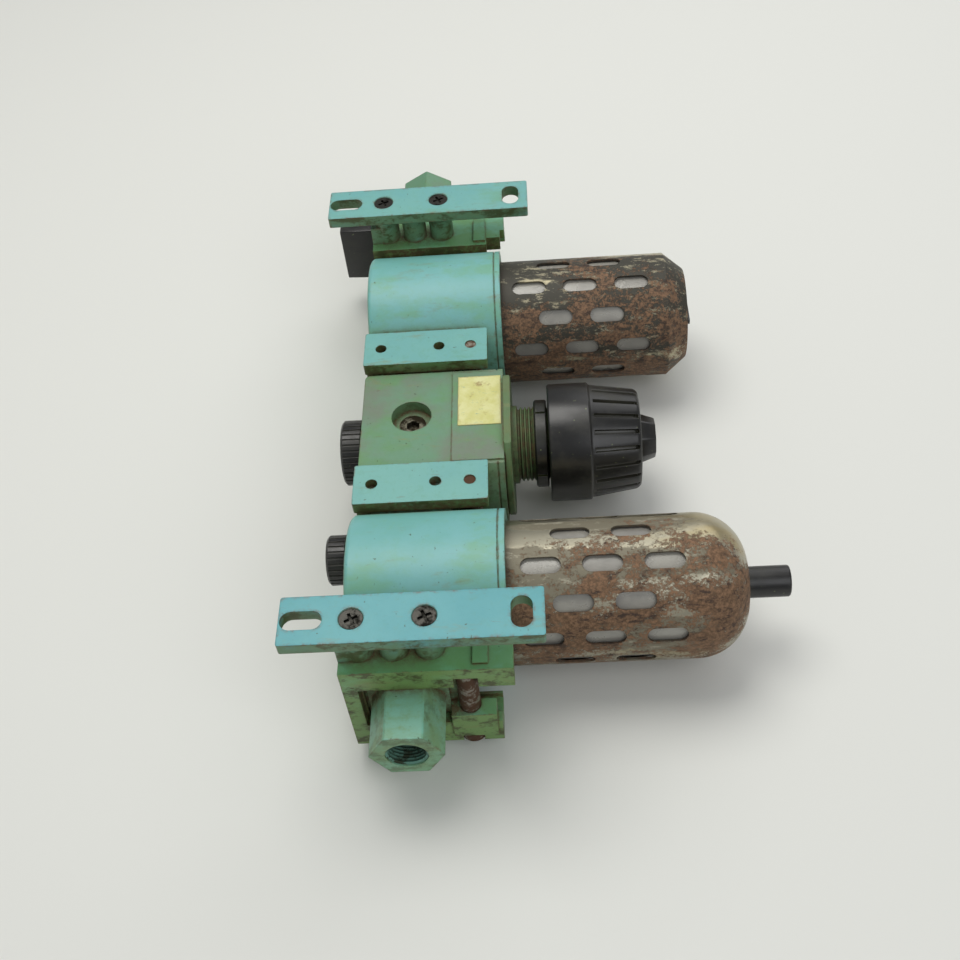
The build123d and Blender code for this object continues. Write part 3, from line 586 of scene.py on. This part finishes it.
class Finish(Enum):
    """Every finish on the object, by what it is."""

    BODY_PAINT = WornPaint(
        "turquoise_enamel", "#74b1b1", "#6baba5", "#6fa886",
        patina=0.55, dirt_and_gap_shade=0.8, chips=0.8, side=0.5
    )
    REGULATOR_PAINT = WornPaint(
        "oiled_turquoise_enamel", "#6c7663", "#5f8a6a", "#5a894e",
        patina=0.72, dirt_and_gap_shade=1.0, chips=1.0, side=0.5
    )
    ADAPTER_PAINT = WornPaint(
        "oiled_adapter_enamel", "#7ab59f", "#74a882", "#6f8f55",
        patina=0.8, dirt_and_gap_shade=1.0, chips=0.9, side=0.6,
        side_shade_green="#6f9163",
    )
    # wide occlusion reach and full side amount: more painted shade in the pocket and on the side
    # faces
    END_CLAMP_PAINT = WornPaint(
        "grimed_and_shaded_clamp_enamel", "#7ab897", "#6fae7c", "#679650",
        patina=1.0, dirt_and_gap_shade=1.0, chips=0.8, side=1.0,
        side_shade_green="#6c8c46", reach=14.0,
    )
    INLET_BAR_PAINT = WornPaint(
        "faded_bar_enamel", "#68a7a7", "#70aca6", "#69a184",
        patina=0.4, dirt_and_gap_shade=0.8, chips=1.0, side=0.9,
        side_shade_green="#5e7a4c", wear_mm=2.4,
    )
    CLAMP_PAINT = WornPaint(
        "clamp_enamel", "#69a7a4", "#70aca4", "#5f9778",
        patina=0.25, dirt_and_gap_shade=0.9, chips=0.7, side=1.0, side_shade_green="#587a3f"
    )
    BAR_PAINT = WornPaint(
        "sky_blue_enamel", "#509da5", "#5ba4aa", "#55907f",
        patina=0.12, dirt_and_gap_shade=0.6, chips=1.0, side=0.9, side_shade_green="#5e7a4c", wear_mm=2.4
    )
    NECK_PAINT = WornPaint(
        # near-black gap colour: painted shade between the thread turns
        "oversprayed_green", "#4f6a36", "#3c5730", "#5d6a34", gap_dirt_and_shade="#17190b",
        patina=0.7, dirt_and_gap_shade=1.0, chips=0.9,
        side_shade_green="#4a5f30", side_oil_and_shade="#23260f",
    )
    DARK_GUARD = RustedSheet(
        "filmed_guard_sheet", "#b3ab8f", "#3b3930", "#4f3d2d", 0.62, 0.30, -92.0, -52.0
    )
    PALE_GUARD = RustedSheet(
        "bare_guard_sheet", "#a9a491", "#7a7462", "#5a432d", 0.34, 0.38, 66.0, 96.0
    )
    BLACK_NYLON = MouldedPlastic("black_nylon", "#131313", gloss=0.28)
    OILY_NYLON = MouldedPlastic("oily_black_nylon", "#131310", "#3d4423", 0.28, 0.9)
    WHITE_ACETAL = MouldedPlastic("white_acetal", "#d8d5c8", "#8d8869", 0.40, 0.4)
    BOWL = CloudedPolycarbonate("clouded_polycarbonate", "#b3b0a6", "#94918a", 0.25, 0.24)
    DOME = CloudedPolycarbonate("clear_polycarbonate", "#e6eae6", "#cfd4cc", 0.85, 0.08)
    DARK_SCREW = TurnedMetal("oiled_black_screw", "#3c3b37", "#16150f", 0.34, 0.7, 0.8)
    RUSTY_STEEL = TurnedMetal("rusty_plated_steel", "#8b857a", "#5a4232", 0.40, 0.95, 0.7)
    DULL_STEEL = TurnedMetal("dull_plated_steel", "#6f6c5e", "#332d20", 0.40, 0.8, 0.85)
    BRIGHT_STEEL = TurnedMetal("bright_steel", "#b9bab8", "#7d7a72", 0.28, 0.15)
    THREAD_METAL = TurnedMetal("tapped_casting", "#5f9080", "#2c3522", 0.45, 0.7, 0.15)
    BRASS = TurnedMetal("turned_brass", "#c9a55a", "#7f6230", 0.26, 0.3)
    CHROME = TurnedMetal("polished_chrome", "#cfd2d4", "#9a9a98", 0.08, 0.1)
    ZINC = TurnedMetal("cast_zinc", "#a9aaa8", "#7a7872", 0.45, 0.3)
    RUBBER = SoftRubber("nitrile_rubber")
    SINTER = SinteredBeads("sintered_beads")
    LABEL = FadedFilm("faded_film")


SLOT_FINISH: dict[str, Finish] = {
    "cast_paint": Finish.BODY_PAINT,
    "clamp_paint": Finish.CLAMP_PAINT,
    "bar_paint": Finish.BAR_PAINT,
    "screw_paint": Finish.DARK_SCREW,
    "neck_paint": Finish.NECK_PAINT,
    "bolt_steel": Finish.RUSTY_STEEL,
    "inner_steel": Finish.BRIGHT_STEEL,
    "spring_steel": Finish.BRIGHT_STEEL,
    "inner_brass": Finish.BRASS,
    "ball_chrome": Finish.CHROME,
    "plate_zinc": Finish.ZINC,
    "guard_steel": Finish.PALE_GUARD,
    "bowl_clear": Finish.BOWL,
    "dome_clear": Finish.DOME,
    "black_plastic": Finish.BLACK_NYLON,
    "inner_plastic": Finish.WHITE_ACETAL,
    "drain_plastic": Finish.BLACK_NYLON,
    "element_sinter": Finish.SINTER,
    "seal_rubber": Finish.RUBBER,
    "plug_steel": Finish.DULL_STEEL,
    "label_film": Finish.LABEL,
}
NODE_FINISH: dict[str, Finish] = {
    "filter_guard": Finish.DARK_GUARD,
    "regulator_body": Finish.REGULATOR_PAINT,
    "outlet_adapter": Finish.ADAPTER_PAINT,
    "inlet_port_adapter": Finish.REGULATOR_PAINT,
    "outlet_clamp_yoke": Finish.END_CLAMP_PAINT,
    "inlet_clamp_yoke": Finish.END_CLAMP_PAINT,
    "inlet_mounting_bar": Finish.INLET_BAR_PAINT,
}


class Paintshop:
    """Makes each finish once and hands it out."""

    def __init__(self) -> None:
        """Starts with nothing made."""
        self.made: dict[Finish, bpy.types.Material] = {}

    def get(self, finish: Finish) -> bpy.types.Material:
        """Returns the finish's material, built on first use."""
        if finish not in self.made:
            self.made[finish] = finish.value.make()
        return self.made[finish]

    def dress(self, piece: bpy.types.Object, finish: Finish) -> None:
        """Covers a whole piece with one finish."""
        piece.data.materials.clear()
        piece.data.materials.append(self.get(finish))

    def dress_frame(self, nodes: dict[str, bpy.types.Object], record: dict[str, Any]) -> None:
        """Gives every CAD node the finish of its slot.

        Args:
            nodes: CAD node name to object.
            record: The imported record.
        """
        for row in record["subparts"]:
            name = row["node"]
            finish = NODE_FINISH.get(name, SLOT_FINISH[row["material_slot"]])
            self.dress(nodes[name], finish)


# ---------------------------------------------------------------- mesh tools


def upright(x: float, y: float, z: float) -> Matrix:
    """Place of a shape that was built about its own upright axis, from millimetres."""
    return Matrix.Translation(Vector((x, y, z)) * MM)


def turn_profile(
    mesh: bmesh.types.BMesh, profile: Sequence[tuple[float, float]], steps: int
) -> None:
    """Spins a profile of (radius, height) in millimetres about Z into a closed shell.

    Args:
        mesh: The mesh to build in.
        profile: Points from the axis or rim round to the start; a ring profile ends where it began.
        steps: Facets round the turn.
    """
    verts = [mesh.verts.new((radius * MM, 0, height * MM)) for radius, height in profile]
    edges = [mesh.edges.new(pair) for pair in zip(verts, verts[1:])]
    if profile[0][0] > 0 and profile[-1][0] > 0:
        edges.append(mesh.edges.new((verts[-1], verts[0])))
    bmesh.ops.spin(
        mesh,
        geom=verts + edges,
        cent=(0, 0, 0),
        axis=(0, 0, 1),
        angle=2 * math.pi,
        steps=steps,
        use_merge=True,
    )
    bmesh.ops.remove_doubles(mesh, verts=mesh.verts, dist=WELD)
    bmesh.ops.recalc_face_normals(mesh, faces=mesh.faces)


def soften(
    mesh: bmesh.types.BMesh, width_mm: float, least_degrees: float, segments: int = 2
) -> None:
    """Bevels every edge sharper than an angle.

    Args:
        mesh: The mesh.
        width_mm: Bevel width.
        least_degrees: Edges flatter than this stay.
        segments: Bevel segments.
    """
    sharp = [
        edge
        for edge in mesh.edges
        if len(edge.link_faces) == 2 and edge.calc_face_angle(0.0) > math.radians(least_degrees)
    ]
    bmesh.ops.bevel(
        mesh,
        geom=sharp,
        offset=width_mm * MM,
        affect="EDGES",
        segments=segments,
        profile=0.5,
        material=-1,
        clamp_overlap=True,
    )


def finish_piece(
    mesh: bmesh.types.BMesh,
    name: str,
    place: Matrix,
    smooth_degrees: float = 35.0,
) -> bpy.types.Object:
    """Moves a mesh into place and makes it an object at the origin.

    Args:
        mesh: The mesh, built about its own origin; it is freed.
        name: The piece's name.
        place: Where it goes in the row frame.
        smooth_degrees: Edges sharper than this stay crisp.

    Returns:
        The object.
    """
    bmesh.ops.transform(mesh, matrix=place, verts=mesh.verts)
    for face in mesh.faces:
        face.smooth = True
    for edge in mesh.edges:
        edge.smooth = edge.calc_face_angle(0.0) < math.radians(smooth_degrees)
    data = bpy.data.meshes.new(name)
    mesh.to_mesh(data)
    mesh.free()
    piece = bpy.data.objects.new(name, data)
    bpy.context.scene.collection.objects.link(piece)
    return piece


def flute(
    mesh: bmesh.types.BMesh,
    count: int,
    share: Callable[[Vector], bool],
    depth_mm: float,
    every: int,
) -> None:
    """Sinks every so many facets of a turned wall, which leaves ribs between them.

    Args:
        mesh: A turned mesh with count times every facets round.
        count: Number of grooves.
        share: Says whether a face's centre lies on the wall that is fluted.
        depth_mm: Depth of a groove.
        every: Facets from one groove to the next.
    """
    steps = count * every
    grooves = []
    for face in mesh.faces:
        centre = face.calc_center_median()
        if abs(face.normal.z) > 0.7 or not share(centre):
            continue
        turn = math.atan2(centre.y, centre.x) / (2 * math.pi) * steps
        if int(math.floor(turn)) % every == 0:
            grooves.append(face)
    bmesh.ops.inset_individual(mesh, faces=grooves, thickness=0.12 * MM, depth=-depth_mm * MM)


# ---------------------------------------------------------------- sub-assemblies


@dataclass
class Assembly:
    """What every sub-assembly shares: its finishes and the pieces it made."""

    shop: Paintshop
    pieces: list[bpy.types.Object] = field(default_factory=list)

    def keep(
        self,
        piece: bpy.types.Object,
        finish: Finish,
        slot: str,
        body: str,
        stands_for: Sequence[str] = (),
    ) -> bpy.types.Object:
        """Dresses a piece, fixes it to its body and hides the CAD nodes that it stands for.

        Args:
            piece: The new object.
            finish: Its finish.
            slot: The record's material slot; not used.
            body: The CAD body that it rides on.
            stands_for: CAD nodes that it replaces.

        Returns:
            The same piece.
        """
        self.shop.dress(piece, finish)
        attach(piece, body)
        if stands_for:
            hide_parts(*stands_for)
        self.pieces.append(piece)
        LOG.info("%s: %d faces", piece.name, len(piece.data.polygons))
        return piece


@dataclass
class PressureControl(Assembly):
    """Threaded neck, ring nut, adjusting knob and lock cap under the regulator."""

    neck_radius: float = 15.8
    thread_pitch: float = 1.75
    thread_start: float = -38.2
    thread_turns: int = 7
    nut_radius: float = 18.6
    skirt_radius: float = 25.0
    rib_count: int = 20
    flange_flat: float = 22.9
    spanner_notches: int = 4
    cap_sides: int = 8

    def neck(self) -> None:
        """Flange, collar and thread of the bonnet."""
        profile = [(15.0, -32.0), (29.4, -32.0), (29.9, -32.6), (29.9, -34.6), (29.4, -35.0)]
        profile += [(16.6, -35.0), (16.6, -37.2), (self.neck_radius - 1.0, -37.6)]
        for turn in range(self.thread_turns):
            high = self.thread_start - turn * self.thread_pitch
            profile += [
                (self.neck_radius - 1.0, high),
                (self.neck_radius, high - 0.55),
                (self.neck_radius, high - 0.95),
                (self.neck_radius - 1.0, high - 1.5),
            ]
        profile += [(14.6, -50.6), (14.6, -72.4), (4.3, -72.4), (4.3, -69.4), (12.6, -69.4)]
        profile += [(12.6, -34.4), (15.0, -34.4)]
        mesh = bmesh.new()
        turn_profile(mesh, profile, FINE_TURN)
        for side in (1, -1):
            bmesh.ops.bisect_plane(
                mesh,
                geom=mesh.verts[:] + mesh.edges[:] + mesh.faces[:],
                plane_co=(0, side * self.flange_flat * MM, 0),
                plane_no=(0, side, 0),
                clear_outer=True,
            )
        bmesh.ops.holes_fill(mesh, edges=[edge for edge in mesh.edges if edge.is_boundary], sides=0)
        piece = finish_piece(mesh, "threaded_neck", upright(0, AXIS_Y, 0), 30)
        self.keep(piece, Finish.NECK_PAINT, "neck_paint", "manifold", ["bonnet"])

    def nut(self) -> None:
        """Round nut with four spanner notches."""
        inner = self.neck_radius
        profile = [(inner, -44.4), (17.9, -44.4), (self.nut_radius, -45.1)]
        profile += [(self.nut_radius, -49.2), (18.0, -49.8), (inner, -49.8)]
        mesh = bmesh.new()
        turn_profile(mesh, profile, FINE_TURN)
        flute(mesh, self.spanner_notches, lambda centre: centre.xy.length > 18.4 * MM, 1.0, 24)
        piece = finish_piece(mesh, "panel_ring_nut", upright(0, AXIS_Y, 0))
        self.keep(piece, Finish.OILY_NYLON, "black_plastic", "manifold", ["ring_nut"])

    def knob(self) -> None:
        """Smooth skirt, then a fluted cone."""
        radius = self.skirt_radius
        profile = [(0.0, -84.4), (3.95, -84.4), (3.95, -73.8), (16.2, -73.8), (16.2, -64.6)]
        profile += [(22.3, -64.6), (22.3, -50.3), (radius - 0.6, -50.3), (radius, -50.9)]
        profile += [(radius, -67.1), (radius - 0.5, -67.7), (radius - 1.0, -67.9)]
        profile += [(radius - 1.2, -69.2), (21.2, -86.6), (20.7, -87.6), (19.8, -88.4)]
        profile += [(11.0, -88.4), (0.0, -88.4)]
        mesh = bmesh.new()
        turn_profile(mesh, profile, self.rib_count * 4)
        flute(
            mesh,
            self.rib_count,
            lambda centre: -88.0 * MM < centre.z < -69.0 * MM and centre.xy.length > 20.5 * MM,
            1.9,
            4,
        )
        soften(mesh, 0.25, 40, 2)
        piece = finish_piece(mesh, "adjusting_knob_grip", upright(0, AXIS_Y, 0), 30)
        self.keep(piece, Finish.BLACK_NYLON, "black_plastic", "adjuster", ["adjusting_knob"])

    def cap(self) -> None:
        """Eight-sided cap that locks the knob."""
        mesh = bmesh.new()
        bmesh.ops.create_cone(
            mesh,
            cap_ends=True,
            segments=self.cap_sides,
            radius1=8.4 * MM,
            radius2=10.8 * MM,
            depth=7.0 * MM,
        )
        bmesh.ops.translate(mesh, vec=(0, 0, -91.9 * MM), verts=mesh.verts)
        tip = min(mesh.faces, key=lambda face: face.calc_center_median().z)
        bmesh.ops.inset_region(mesh, faces=[tip], thickness=1.8 * MM, depth=-0.5 * MM)
        soften(mesh, 0.6, 25, 3)
        piece = finish_piece(mesh, "knob_lock", upright(0, AXIS_Y, 0), 30)
        self.keep(piece, Finish.BLACK_NYLON, "black_plastic", "adjuster", ["knob_lock_cap"])

    def build(self) -> None:
        """Makes all four pieces."""
        self.neck()
        self.nut()
        self.knob()
        self.cap()


@dataclass
class TopControls(Assembly):
    """Ribbed cap over the regulator's valve and the oil feed knob."""

    def ribbed(
        self, radius: float, low: float, high: float, ribs: int, foot: list[tuple[float, float]]
    ) -> bmesh.types.BMesh:
        """Turned cap with fine ribs round its side.

        Args:
            radius: Outer radius.
            low: Height of its lower rim.
            high: Height of its top.
            ribs: Number of grooves.
            foot: Profile points under the rim, outside first, ending on the axis.

        Returns:
            The mesh.
        """
        profile = [(0.0, high - 0.5), (radius - 3.4, high - 0.5), (radius - 2.6, high)]
        profile += [(radius - 0.9, high), (radius, high - 0.9), (radius, low + 1.6)]
        profile += [(radius - 0.5, low + 1.0), (radius - 0.5, low)]
        mesh = bmesh.new()
        turn_profile(mesh, profile + foot, ribs * 3)
        flute(
            mesh,
            ribs,
            lambda centre: low + 1.2 < centre.z / MM < high - 0.8
            and centre.xy.length > (radius - 0.3) * MM,
            0.55,
            3,
        )
        return mesh

    def valve_cap(self) -> None:
        """Cap that closes the valve chamber."""
        foot = [(10.5, 27.5), (10.5, 19.0), (6.0, 19.0), (6.0, 24.0), (0.0, 24.0)]
        mesh = self.ribbed(14.0, 27.5, 37.5, 36, foot)
        piece = finish_piece(mesh, "valve_chamber_cap", upright(0, AXIS_Y, 0), 30)
        self.keep(piece, Finish.BLACK_NYLON, "black_plastic", "manifold", ["valve_cap"])

    def feed_knob(self) -> None:
        """Oil feed knob and its needle."""
        foot = [(2.5, 27.9), (2.5, 17.0), (1.0, 16.0), (0.0, 16.0)]
        mesh = self.ribbed(9.75, 27.9, 36.8, 26, foot)
        place = upright(LUBRICATOR_X - 9.5, AXIS_Y + 13.5, 0)
        piece = finish_piece(mesh, "oil_feed_knob", place, 30)
        self.keep(piece, Finish.BLACK_NYLON, "black_plastic", "feed_screw", ["feed_knob"])

    def build(self) -> None:
        """Makes both controls."""
        self.valve_cap()
        self.feed_knob()


@dataclass(frozen=True)
class BoltSpot:
    """Where one clamp bolt sits, in millimetres."""

    x: float
    z: float
    seat: float
    top: float
    thread_top: float | None = None


@dataclass
class Fasteners(Assembly):
    """Clamp bolts."""

    def hex_socket(
        self,
        mesh: bmesh.types.BMesh,
        radius: float,
        low: float,
        high: float,
        flats: float,
        deep: float,
    ) -> None:
        """Adds a round head with a hexagon socket, its top facing +Z.

        Args:
            mesh: The mesh to add to.
            radius: Head radius.
            low: Underside.
            high: Top.
            flats: Socket size across the flats.
            deep: Socket depth.
        """
        corner = flats / math.sqrt(3)
        profile = [(corner, high), (radius - 0.7, high), (radius, high - 0.7)]
        profile += [(radius, low), (corner, low)]
        turn_profile(mesh, profile, 48)
        core = bmesh.ops.create_cone(
            mesh,
            cap_ends=True,
            segments=6,
            radius1=corner * MM,
            radius2=corner * MM,
            depth=(high - low - deep) * MM,
        )["verts"]
        bmesh.ops.translate(mesh, vec=(0, 0, (low + high - deep) / 2 * MM), verts=core)

    def rod(
        self, mesh: bmesh.types.BMesh, radius: float, seat: float, start: float, top: float
    ) -> None:
        """Adds a plain rod behind a head, from one depth along Y to another.

        Args:
            mesh: The mesh to add to, built about the head's seat.
            radius: Rod radius.
            seat: Depth of the head's seat.
            start: Where the rod starts.
            top: Where it ends.
        """
        rod = bmesh.ops.create_cone(
            mesh,
            cap_ends=True,
            segments=32,
            radius1=radius * MM,
            radius2=radius * MM,
            depth=(top - start) * MM,
        )["verts"]
        bmesh.ops.translate(mesh, vec=(0, 0, (seat - (start + top) / 2) * MM), verts=rod)

    def clamp_bolts(self) -> None:
        """One bolt per yoke, entered from the front."""
        mesh = bmesh.new()
        spots = (
            BoltSpot(-BAR_X - 6.0, -16.6, -65.0, -26.0),
            BoltSpot(-38.5, -18.4, -68.0, -25.5, -20.4),
            BoltSpot(38.5, -18.4, -68.0, -25.5, -20.4),
            BoltSpot(BAR_X + 6.0, -16.6, -65.0, -26.0),
        )
        for spot in spots:
            one = bmesh.new()
            self.hex_socket(one, 5.2, 0.0, 5.0, 5.0, 3.2)
            self.rod(one, 3.95, spot.seat, spot.seat, spot.top)
            if spot.thread_top is not None:
                self.rod(one, 2.35, spot.seat, spot.top, spot.thread_top)
            turn = Matrix.Rotation(math.radians(90), 4, "X")
            place = Matrix.Translation(Vector((spot.x, spot.seat, spot.z)) * MM) @ turn
            bmesh.ops.transform(one, matrix=place, verts=one.verts)
            data = bpy.data.meshes.new("bolt")
            one.to_mesh(data)
            one.free()
            mesh.from_mesh(data)
            bpy.data.meshes.remove(data)
        piece = finish_piece(mesh, "clamp_bolt_set", Matrix.Identity(4), 30)
        self.keep(piece, Finish.RUSTY_STEEL, "bolt_steel", "manifold", ["clamp_bolts"])

    def build(self) -> None:
        """Makes the fasteners."""
        self.clamp_bolts()


@dataclass
class HandValve(Assembly):
    """Moulded handle of the shut-off valve."""

    axis_x: float = -137.5

    def build(self) -> None:
        """Block handle with a waist and a dished top."""
        mesh = bmesh.new()
        bmesh.ops.create_cube(mesh, size=1.0)
        size = Matrix.Diagonal((10.0 * MM, 30.0 * MM, 18.0 * MM, 1.0))
        bmesh.ops.transform(mesh, matrix=size, verts=mesh.verts)
        upper = [vert for vert in mesh.verts if vert.co.z > 0]
        bmesh.ops.scale(mesh, vec=(0.88, 0.97, 1), verts=upper)
        top = max(mesh.faces, key=lambda face: face.calc_center_median().z)
        bmesh.ops.inset_region(mesh, faces=[top], thickness=1.4 * MM, depth=-0.6 * MM)
        soften(mesh, 1.2, 30, 3)
        bmesh.ops.translate(mesh, vec=(0, 0, 38.5 * MM), verts=mesh.verts)
        hub = bmesh.ops.create_cone(
            mesh, cap_ends=True, segments=48, radius1=7.0 * MM, radius2=7.0 * MM, depth=3.7 * MM
        )["verts"]
        bmesh.ops.translate(mesh, vec=(0, 0, 29.65 * MM), verts=hub)
        piece = finish_piece(mesh, "shutoff_grip", upright(self.axis_x, AXIS_Y, 0), 30)
        self.keep(piece, Finish.BLACK_NYLON, "black_plastic", "shutoff", ["shutoff_handle"])


@dataclass(frozen=True)
class SpringSize:
    """One round-wire compression spring, in millimetres."""

    name: str
    node: str
    body: str
    joint: str
    x: float
    radius: float
    wire: float
    low: float
    high: float
    turns: float
    travel: float


@dataclass
class Springs(Assembly):
    """The three compression springs."""

    sizes: tuple[SpringSize, ...] = (
        SpringSize(
            "pressure_range_coil", "range_spring", "manifold", "spring_seat_travel",
            0.0, 9.6, 1.4, -62.5, -34.4, 5.5, 6.2,
        ),
        SpringSize(
            "valve_return_coil", "valve_spring", "manifold", "valve_lift",
            0.0, 4.2, 0.5, 12.2, 24.0, 6.0, 1.5,
        ),
        SpringSize(
            "drain_return_coil", "drain_spring", "lubricator_bowl_unit", "lubricator_drain_push",
            77.0, 5.3, 0.35, -123.3, -120.1, 2.0, 2.0,
        ),
    )
    steps_per_turn: int = 36
    wire_sides: int = 12

    def coil(self, size: SpringSize) -> None:
        """Winds one spring.

        Args:
            size: The spring's sizes.
        """
        mesh = bmesh.new()
        wire = bmesh.ops.create_circle(
            mesh, cap_ends=False, segments=self.wire_sides, radius=size.wire * MM
        )["verts"]
        place = Matrix.Translation((size.radius * MM, 0, (size.low + size.wire) * MM))
        place = place @ Matrix.Rotation(math.radians(90), 4, "X")
        bmesh.ops.transform(mesh, matrix=place, verts=wire)
        steps = round(size.turns * self.steps_per_turn)
        rise = (size.high - size.low - 2 * size.wire) * MM / steps
        bmesh.ops.spin(
            mesh,
            geom=mesh.verts[:] + mesh.edges[:],
            cent=(0, 0, 0),
            axis=(0, 0, 1),
            dvec=(0, 0, rise),
            angle=2 * math.pi * size.turns,
            steps=steps,
        )
        bmesh.ops.holes_fill(mesh, edges=[edge for edge in mesh.edges if edge.is_boundary], sides=0)
        bmesh.ops.recalc_face_normals(mesh, faces=mesh.faces)
        piece = finish_piece(mesh, size.name, upright(size.x, AXIS_Y, 0), 50)
        self.keep(piece, Finish.BRIGHT_STEEL, "spring_steel", size.body, [size.node])
        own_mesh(piece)

    def build(self) -> None:
        """Winds all three."""
        for size in self.sizes:
            self.coil(size)


@dataclass
class PortThreads(Assembly):
    """Pipe threads cut inside the two port mouths."""

    bore: float = 7.79
    crest: float = 6.95
    pitch: float = 1.34
    turns: int = 11
    facets: int = 64
    port_z: float = 5.5
    outlet_end: float = 144.4
    inlet_end: float = -179.4

    def build(self) -> None:
        """One thread per port, its first turn just inside the mouth."""
        ports = (("outlet", self.outlet_end, -90.0), ("inlet", self.inlet_end, 90.0))
        for name, end, turn in ports:
            profile = [(self.bore, 0.0), (self.bore, self.turns * self.pitch)]
            for step in range(self.turns, 0, -1):
                profile += [(self.crest, (step - part) * self.pitch) for part in (0.4, 0.6)]
                profile += [(self.bore - 0.08, (step - 0.95) * self.pitch)]
            mesh = bmesh.new()
            turn_profile(mesh, profile[:-1], self.facets)
            place = upright(end, AXIS_Y, self.port_z) @ Matrix.Rotation(math.radians(turn), 4, "Y")
            piece = finish_piece(mesh, name + "_port_thread", place, 30)
            self.keep(piece, Finish.THREAD_METAL, "cast_paint", "manifold")


# ---------------------------------------------------------------- stage


@dataclass
class Studio:
    """Table, lights and camera. The set lies on its front, so the table is a plane across Y."""

    half_size: float = 3.0
    focal_mm: float = 46.125
    sensor_mm: float = 36.0
    world_strength: float = 0.38
    lamps_face: tuple[float, float, float] = (0, -0.04, -0.02)
    camera_at: tuple[float, float, float] = (0.35196, 0.34820, -0.04959)
    camera_turn: tuple[float, float, float] = (-2.41486, 1.49574, -1.54681)

    def table(self) -> None:
        """Plain pale table, opaque on the object's side and clear from the other."""
        mesh = bmesh.new()
        bmesh.ops.create_grid(mesh, x_segments=1, y_segments=1, size=self.half_size)
        turn = Matrix.Rotation(math.radians(-90), 4, "X")
        place = Matrix.Translation((0, TABLE_Y * MM, 0)) @ turn
        bmesh.ops.transform(mesh, matrix=place, verts=mesh.verts)
        data = bpy.data.meshes.new("table")
        mesh.to_mesh(data)
        mesh.free()
        table = bpy.data.objects.new("table", data)
        bpy.context.scene.collection.objects.link(table)
        material = bpy.data.materials.new("table_top")
        material.use_nodes = True
        tree = material.node_tree
        tree.nodes.clear()
        cover = add_node(
            tree,
            "ShaderNodeBsdfPrincipled",
            None,
            {"Base Color": srgb("#dfe0db"), "Roughness": 0.6},
        )
        clear = add_node(tree, "ShaderNodeBsdfTransparent")
        below = add_node(tree, "ShaderNodeNewGeometry").outputs["Backfacing"]
        both = add_node(
            tree, "ShaderNodeMixShader", None, {0: below, 1: cover.outputs[0], 2: clear.outputs[0]}
        )
        add_node(tree, "ShaderNodeOutputMaterial", None, {"Surface": both.outputs[0]})
        data.materials.append(material)

    def light(
        self, name: str, at: tuple[float, float, float], size: float, power: float, tint: str
    ) -> None:
        """Adds one soft lamp that faces the object.

        Args:
            name: The lamp's name.
            at: Its place, in metres.
            size: Its width, in metres.
            power: Watts.
            tint: Its colour.
        """
        data = bpy.data.lights.new(name, "AREA")
        data.shape = "DISK"
        data.size = size
        data.energy = power
        data.color = srgb(tint)[:3]
        lamp = bpy.data.objects.new(name, data)
        lamp.location = at
        sight = Vector(self.lamps_face) - Vector(at)
        lamp.rotation_euler = sight.to_track_quat("-Z", "Y").to_euler()
        bpy.context.scene.collection.objects.link(lamp)

    def camera(self) -> None:
        """Camera above the outlet end, looking along the row."""
        data = bpy.data.cameras.new("camera")
        data.lens = self.focal_mm
        data.sensor_width = self.sensor_mm
        data.clip_start = 0.02
        camera = bpy.data.objects.new("camera", data)
        camera.location = self.camera_at
        camera.rotation_euler = self.camera_turn
        bpy.context.scene.collection.objects.link(camera)
        bpy.context.scene.camera = camera

    def build(self) -> None:
        """Sets the stage."""
        self.table()
        self.light("key", (-0.30, 1.1, 0.20), 0.8, 7.7, "#fffdf8")
        self.light("side", (0.8, 0.9, -0.6), 1.0, 4.5, "#fafcff")
        self.light("far", (-0.9, 0.7, -0.5), 1.0, 3.1, "#ffffff")
        self.light("front", (0.2, -1.0, 0.4), 1.0, 5.0, "#ffffff")
        world = bpy.data.worlds.new("studio")
        world.use_nodes = True
        world.node_tree.nodes["Background"].inputs[0].default_value = srgb("#f2f3f4")
        world.node_tree.nodes["Background"].inputs[1].default_value = self.world_strength
        bpy.context.scene.world = world
        bpy.context.scene.view_settings.view_transform = "Standard"
        self.camera()


def main() -> None:
    """Builds the set, piece by piece, round the frame."""
    logging.basicConfig(level=logging.INFO, format="%(name)s %(message)s")
    Studio().build()
    shop = Paintshop()
    shop.dress_frame(frame["nodes"], frame["record"])
    parts: tuple[Assembly, ...] = (
        PressureControl(shop),
        TopControls(shop),
        Fasteners(shop),
        HandValve(shop),
        PortThreads(shop),
        Springs(shop),
    )
    for part in parts:
        part.build()
        LOG.info("%s made %d pieces", type(part).__name__, len(part.pieces))


if __name__ == "__main__":
    main()
